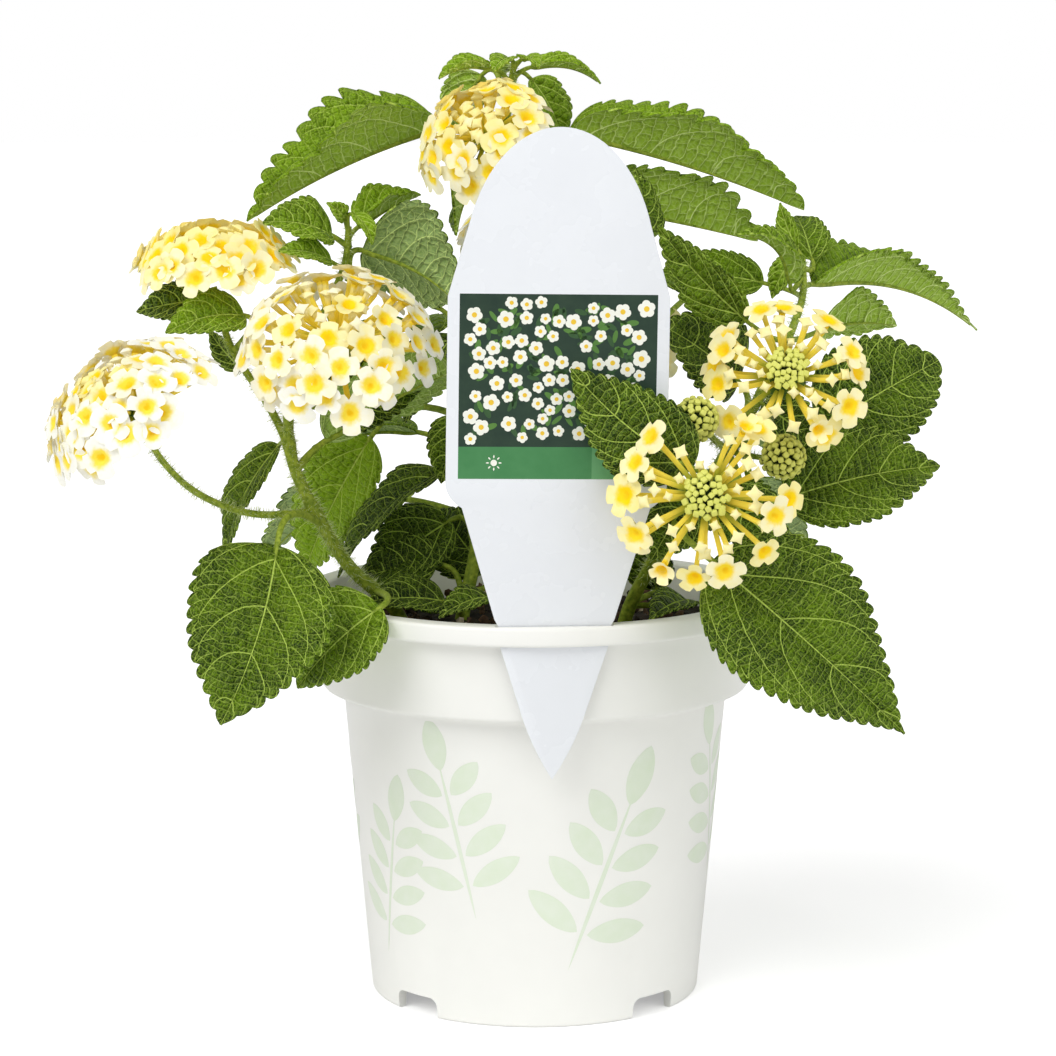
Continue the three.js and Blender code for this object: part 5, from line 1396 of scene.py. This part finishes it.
def between_points(vert):
    """Whether a vertex of a bud lies between its four points."""
    return cos(4 * atan2(vert.co.y, vert.co.x)) < 0


def star_bud_template(radius, length):
    """A closed floret: a slim tube that ends in a plump four-pointed star."""
    profile = [(0, 0.8), (0.5 * radius, 0.62), (radius, 0), (0.55 * radius, -0.75), (0, -0.9)]
    bm = spun(profile, 8)
    for vert in bm.verts:
        out = vert.co.xy.length / radius
        if out > 0.4 and between_points(vert):
            vert.co.xy *= 1 - 0.42 * out
    add_flower_tube(bm, 0.6, length)
    mark_bloom(bm, radius, -0.6, length, 0.8)
    return template_from(bm, "star bud")


def bud_template(radius, length):
    """A small closed bud, square and pale on top, that grows darker down its short stalk, partly its own
    colour and partly painted shade between the buds.
    """
    profile = [(0, 0.3 * radius), (0.8 * radius, 0.1 * radius), (radius, -0.5 * radius),
               (0.6 * radius, -1.6 * radius), (0, -length)]
    bm = spun(profile, 8)
    bloom = bm.verts.layers.float_vector.new("bloom")
    for vert in bm.verts:
        if between_points(vert):
            vert.co.xy *= 0.8
        # Its share of the height, which the bud skin turns from painted shade low down to a pale tip.
        vert[bloom] = (smoothstep(-1.8 * radius, 0.2 * radius, vert.co.z), 0, 0)
    return template_from(bm, "small bud", 1)


def bract_template():
    """A narrow green bract that points along +Z and bends outwards."""
    bm = bmesh.new()
    grid = bmesh.ops.create_grid(bm, x_segments=2, y_segments=6, size=1)["verts"]
    for vert in grid:
        t = (vert.co.y + 1) / 2
        width = 0.95 * sin(pi * min(1, t + 0.18)) ** 0.7 + 0.05
        vert.co = Vector((vert.co.x * width, 1.6 * t * t + 0.25 * abs(vert.co.x), 7.0 * t))
    thicken(bm, bm.faces[:], 0.3)
    mark_bloom(bm, 50, -50, 50)
    return template_from(bm, "bract", 2)


class Bloom:
    """A flower head while it fills up, with its directions, its templates and its own random draws."""

    def __init__(self, name, head, settings):
        self.bm = bmesh.new()
        self.head = head
        self.draw = random.Random(name)
        self.centre = Vector(head.centre)
        self.right, self.ahead, self.out = axis_frame(head.axis)
        self.reach = settings.floret_radius / MM
        star = settings.star_radius / MM
        length = 0.78 * head.radius
        self.florets = [floret_template(lobes, self.reach, length) for lobes in (4, 5)]
        self.star = star_bud_template(star, 0.7 * length)
        self.small_star = star_bud_template(0.72 * star, 0.5 * length)
        self.bud = bud_template(settings.bud_radius / MM, 5)

    def at(self, tilt, angle, share):
        """A place at a share of the way out to the dome."""
        place = self.out * cos(tilt) * self.head.height
        place += spoke(self.right, self.ahead, angle) * sin(tilt) * self.head.radius
        return self.centre + place * share

    def spread(self, count, start, end):
        """Tilts and angles spread evenly over the dome between two tilts, in degrees."""
        turn = self.draw.uniform(0, 2 * pi)
        top, low = cos(radians(start)), cos(radians(end))
        for k in range(count):
            tilt = acos(top + (low - top) * (k + 0.5) / count)
            yield tilt, turn + GOLDEN_ANGLE * k + self.draw.uniform(-0.12, 0.12)

    def add_core(self):
        """The green middle that the florets grow from, and the bracts behind it."""
        head, draw = self.head, self.draw
        bract = bract_template()
        place = Matrix.Translation(self.centre)
        for k in range(9):
            angle = 2 * pi * k / 9 + draw.uniform(-0.2, 0.2)
            tip = spoke(self.right, self.ahead, angle) - self.out * draw.uniform(0.1, 0.6)
            size = Matrix.Scale(head.radius / 20 * draw.uniform(0.8, 1.15), 4)
            stamp(self.bm, bract, place @ Matrix.Translation(-self.out * 1.5) @ turned_to(tip) @ size)
        core = bmesh.ops.create_icosphere(self.bm, subdivisions=2, radius=1)["verts"]
        width, depth = (0.3, 0.42) if head.young else (0.17, 0.25)
        turn = Matrix((self.right, self.ahead, self.out)).transposed().to_4x4()
        shape = Matrix.Diagonal((width * head.radius, width * head.radius, depth * head.height, 1))
        bmesh.ops.transform(self.bm, matrix=place @ turn @ shape, verts=core)
        paint(faces_of(core), 2)

    def add_floret(self, place, template, age, cup=0.0):
        """One floret, cupped or flat, or a star bud. Its tube bends to the middle of the head."""
        draw, mouth = self.draw, self.at(*place)
        root = self.at(*place[:2], 0.2 if self.head.young else 0.22)
        length = (mouth - root).length
        nod = Vector([draw.uniform(-0.22, 0.22) for _ in range(3)])
        lean = self.out * (1.1 if self.head.young else 0.45)
        facing = ((mouth - root).normalized() + lean + nod).normalized()
        size = Matrix.Scale(draw.uniform(0.88, 1.08), 4)
        turn = turned_to(facing, draw.uniform(0, 2 * pi))
        made = stamp(self.bm, template, Matrix.Translation(mouth) @ turn @ size)
        bloom = self.bm.verts.layers.float_vector["bloom"]
        for vert in made:
            rise = (vert.co - mouth).dot(facing)
            across = vert.co - mouth - facing * rise
            out_share = across.length / self.reach
            if rise > -1.4 and out_share > 0.3:
                across *= 1 - CUP_NARROWING * cup
                vert.co = mouth + across + facing * (rise + CUP_RISE * cup * out_share)
            elif rise < -2:
                share = min(1.0, -rise / length)
                bend = mouth.lerp(root, share) - (mouth + facing * rise)
                vert.co += bend * smoothstep(0, 0.8, share)
            vert[bloom].y = age

    def hides_buds(self, place):
        """Whether a floret would crowd one of the bud heads, which stand just behind."""
        mouth = self.at(*place)
        return any(
            mouth.y < y and hypot(mouth.x - x, mouth.z - z - 2) < BUD_HEAD_ROOM
            for (x, y, z), _ in BUD_HEADS.values()
        )

    def fill_open(self):
        """Open florets all over the dome, and star buds among them in the middle."""
        head, draw = self.head, self.draw
        for tilt, angle in self.spread(head.florets, 3, head.skirt):
            middle = 1 - smoothstep(0.35, 0.75, tilt)
            place = (tilt, angle, draw.uniform(0.92, 1.04) - 0.1 * middle)
            age = min(1.0, max(0.0, head.age + 0.5 * smoothstep(0.5, 1.7, tilt) + draw.uniform(-0.2, 0.2)))
            if draw.random() < max(0.3, 0.85 - 0.9 * head.age) * middle:
                self.add_floret(place, self.star, age)
            else:
                cup = max(0.0, draw.uniform(-0.3, 0.3) + 0.35 * middle)
                self.add_floret(place, self.florets[draw.random() < 0.45], age * (1 - middle), cup)
        for tilt, angle in self.spread(14, 7, 34):
            place = (tilt, angle, draw.uniform(0.72, 0.9))
            star = self.star if draw.random() < 0.6 else self.small_star
            self.add_floret(place, star, head.age * 0.5)

    def fill_young(self):
        """Small buds in the middle, star buds round them, and a ring of open florets."""
        draw = self.draw
        for tilt, angle in self.spread(40, 0, 30):
            crown = self.at(tilt, angle, 0.6)
            turn = turned_to((crown - self.centre).normalized(), angle)
            stamp(self.bm, self.bud, Matrix.Translation(crown) @ turn @ Matrix.Scale(0.8 + 0.5 * tilt, 4))
        for start, end, count, star, share in (
            (32, 42, 9, self.small_star, 0.66), (42, 68, 20, self.star, 0.84),
        ):
            for tilt, angle in self.spread(count, start, end):
                place = (tilt, angle, share + draw.uniform(-0.06, 0.06))
                if not self.hides_buds(place):
                    self.add_floret(place, star, 0.15)
        for tilt, angle in self.spread(self.head.florets, 66, 96):
            place = (tilt, angle, draw.uniform(0.96, 1.06))
            cup = max(0.0, draw.uniform(-1.2, 0.9))
            age = self.head.age + draw.uniform(0.0, 0.4)
            if not self.hides_buds(place):
                self.add_floret(place, self.florets[draw.random() < 0.6], age, cup)


class LANTANA_OT_flower_heads(bpy.types.Operator):
    """Makes the eight flower heads from open florets, star buds, small buds and bracts"""

    bl_idname = "lantana.flower_heads"
    bl_label = "Flower Heads"

    def execute(self, context):
        for name, head in HEADS.items():
            bloom = Bloom("bloom_" + name, head, context.scene.lantana_flowers)
            bloom.add_core()
            if head.young:
                bloom.fill_young()
            else:
                bloom.fill_open()
            slot = "white_floret" if head.age > WHITENED else "yellow_floret"
            looks = ["petal", "bud", "bract"]
            finish_piece(bloom.bm, "bloom_" + name, looks, slot, "head_" + name, creases=55)
        return {"FINISHED"}


class LANTANA_OT_bud_heads(bpy.types.Operator):
    """Makes the two small heads that are still all in bud"""

    bl_idname = "lantana.bud_heads"
    bl_label = "Bud Heads"

    def execute(self, context):
        bud = bud_template(0.98, 4)
        for name, (centre, axis) in BUD_HEADS.items():
            bm = bmesh.new()
            right, ahead, out = axis_frame(axis)
            for k in range(BUDS_A_HEAD):
                tilt = acos(1 - 1.35 * (k + 0.5) / BUDS_A_HEAD)
                angle = GOLDEN_ANGLE * k
                facing = out * cos(tilt) + spoke(right, ahead, angle) * sin(tilt)
                crown = Vector(centre) + facing * (5.4 - 0.5 * (k % 2))
                stamp(bm, bud, Matrix.Translation(crown) @ turned_to(facing, angle))
            core = bmesh.ops.create_icosphere(bm, subdivisions=2, radius=3.8)["verts"]
            bmesh.ops.translate(bm, vec=centre, verts=core)
            # The core keeps a bloom of nought, so it takes the bud skin's darkest colour: painted shade
            # between the buds.
            paint(faces_of(core), 1)
            finish_piece(bm, "buds_" + name, ["petal", "bud"], "bud", "bud_head_" + name, creases=55)
        return {"FINISHED"}


# ---- stage ---------------------------------------------------------------------------------------


CAMERA_PLACE = (-0.0017, -0.830, 0.2377)  # metres
CAMERA_DIP = 0.147  # radians below level
CAMERA_LENS = 116.39


class LANTANA_OT_stage(bpy.types.Operator):
    """Sets the pale floor, the soft studio light and the camera"""

    bl_idname = "lantana.stage"
    bl_label = "Studio"

    def execute(self, context):
        settings = context.scene.lantana_stage
        bm = bmesh.new()
        bmesh.ops.create_grid(bm, x_segments=1, y_segments=1, size=6)
        floor = add_object("studio_floor", mesh_from(bm, "studio_floor"))
        floor.data.materials.append(LOOKS["floor"])
        context.scene.world = self.make_room(settings.room)
        self.add_soft_sun("key_light", (-0.6, -0.75, 1.0), 45, settings.key_light)
        self.add_soft_sun("fill_light", (0.9, -0.8, 0.7), 60, 0.4 * settings.key_light)
        camera = add_object("studio_camera", bpy.data.cameras.new("studio_camera"))
        camera.data.sensor_width = 36
        camera.data.lens = CAMERA_LENS
        camera.data.clip_start = 0.05
        camera.location = CAMERA_PLACE
        camera.rotation_euler = (pi / 2 - CAMERA_DIP, 0, 0)
        context.scene.camera = camera
        context.scene.view_settings.view_transform = "Standard"
        return {"FINISHED"}

    def make_room(self, strength):
        """An even white room that looks fully white behind the object."""
        world = bpy.data.worlds.new("Studio room")
        world.use_nodes = True
        w = Wiring(world.node_tree)
        seen = w.node("ShaderNodeLightPath").outputs["Is Camera Ray"]
        room = world.node_tree.nodes["Background"].inputs
        room["Color"].default_value = (1, 1, 1, 1)
        w.feed(room["Strength"], w.mask(seen, 0.0, 1.0, strength, 1.0))
        return world

    def add_soft_sun(self, name, place, spread, strength):
        """A far, wide light, so the floor is lit evenly and shadows are soft."""
        light = bpy.data.lights.new(name, "SUN")
        light.angle = radians(spread)
        light.energy = strength
        sun = add_object(name, light)
        sun.location = place
        sun.rotation_euler = (-Vector(place)).to_track_quat("-Z", "Y").to_euler()


class LANTANA_PT_panel(bpy.types.Panel):
    """Lists the settings of the lantana and the steps that build it"""

    bl_idname = "LANTANA_PT_panel"
    bl_label = "Lantana"
    bl_space_type = "VIEW_3D"
    bl_region_type = "UI"
    bl_category = "Lantana"

    def draw(self, context):
        for group in SETTINGS:
            box = self.layout.box()
            settings = getattr(context.scene, group)
            for key in settings.bl_rna.properties.keys():
                if key not in {"rna_type", "name"}:
                    box.prop(settings, key)
        for step in STEPS:
            self.layout.operator(step.bl_idname)


SETTINGS = {
    "lantana_leaves": LantanaLeafSettings,
    "lantana_flowers": LantanaFlowerSettings,
    "lantana_pot": LantanaPotSettings,
    "lantana_stage": LantanaStageSettings,
}
STEPS = (
    LANTANA_OT_pot, LANTANA_OT_soil, LANTANA_OT_label, LANTANA_OT_stems, LANTANA_OT_leaves,
    LANTANA_OT_flower_heads, LANTANA_OT_bud_heads, LANTANA_OT_stage,
)


def register():
    for kind in (*SETTINGS.values(), *STEPS, LANTANA_PT_panel):
        bpy.utils.register_class(kind)
    for name, kind in SETTINGS.items():
        setattr(bpy.types.Scene, name, bpy.props.PointerProperty(type=kind))


def unregister():
    for name in SETTINGS:
        delattr(bpy.types.Scene, name)
    for kind in (*SETTINGS.values(), *STEPS, LANTANA_PT_panel):
        bpy.utils.unregister_class(kind)


def main():
    register()
    make_looks()
    bpy.ops.lantana.pot()
    bpy.ops.lantana.soil()
    bpy.ops.lantana.label()
    bpy.ops.lantana.stems()
    bpy.ops.lantana.leaves()
    bpy.ops.lantana.flower_heads()
    bpy.ops.lantana.bud_heads()
    bpy.ops.lantana.stage()
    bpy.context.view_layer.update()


if __name__ == "__main__":
    main()
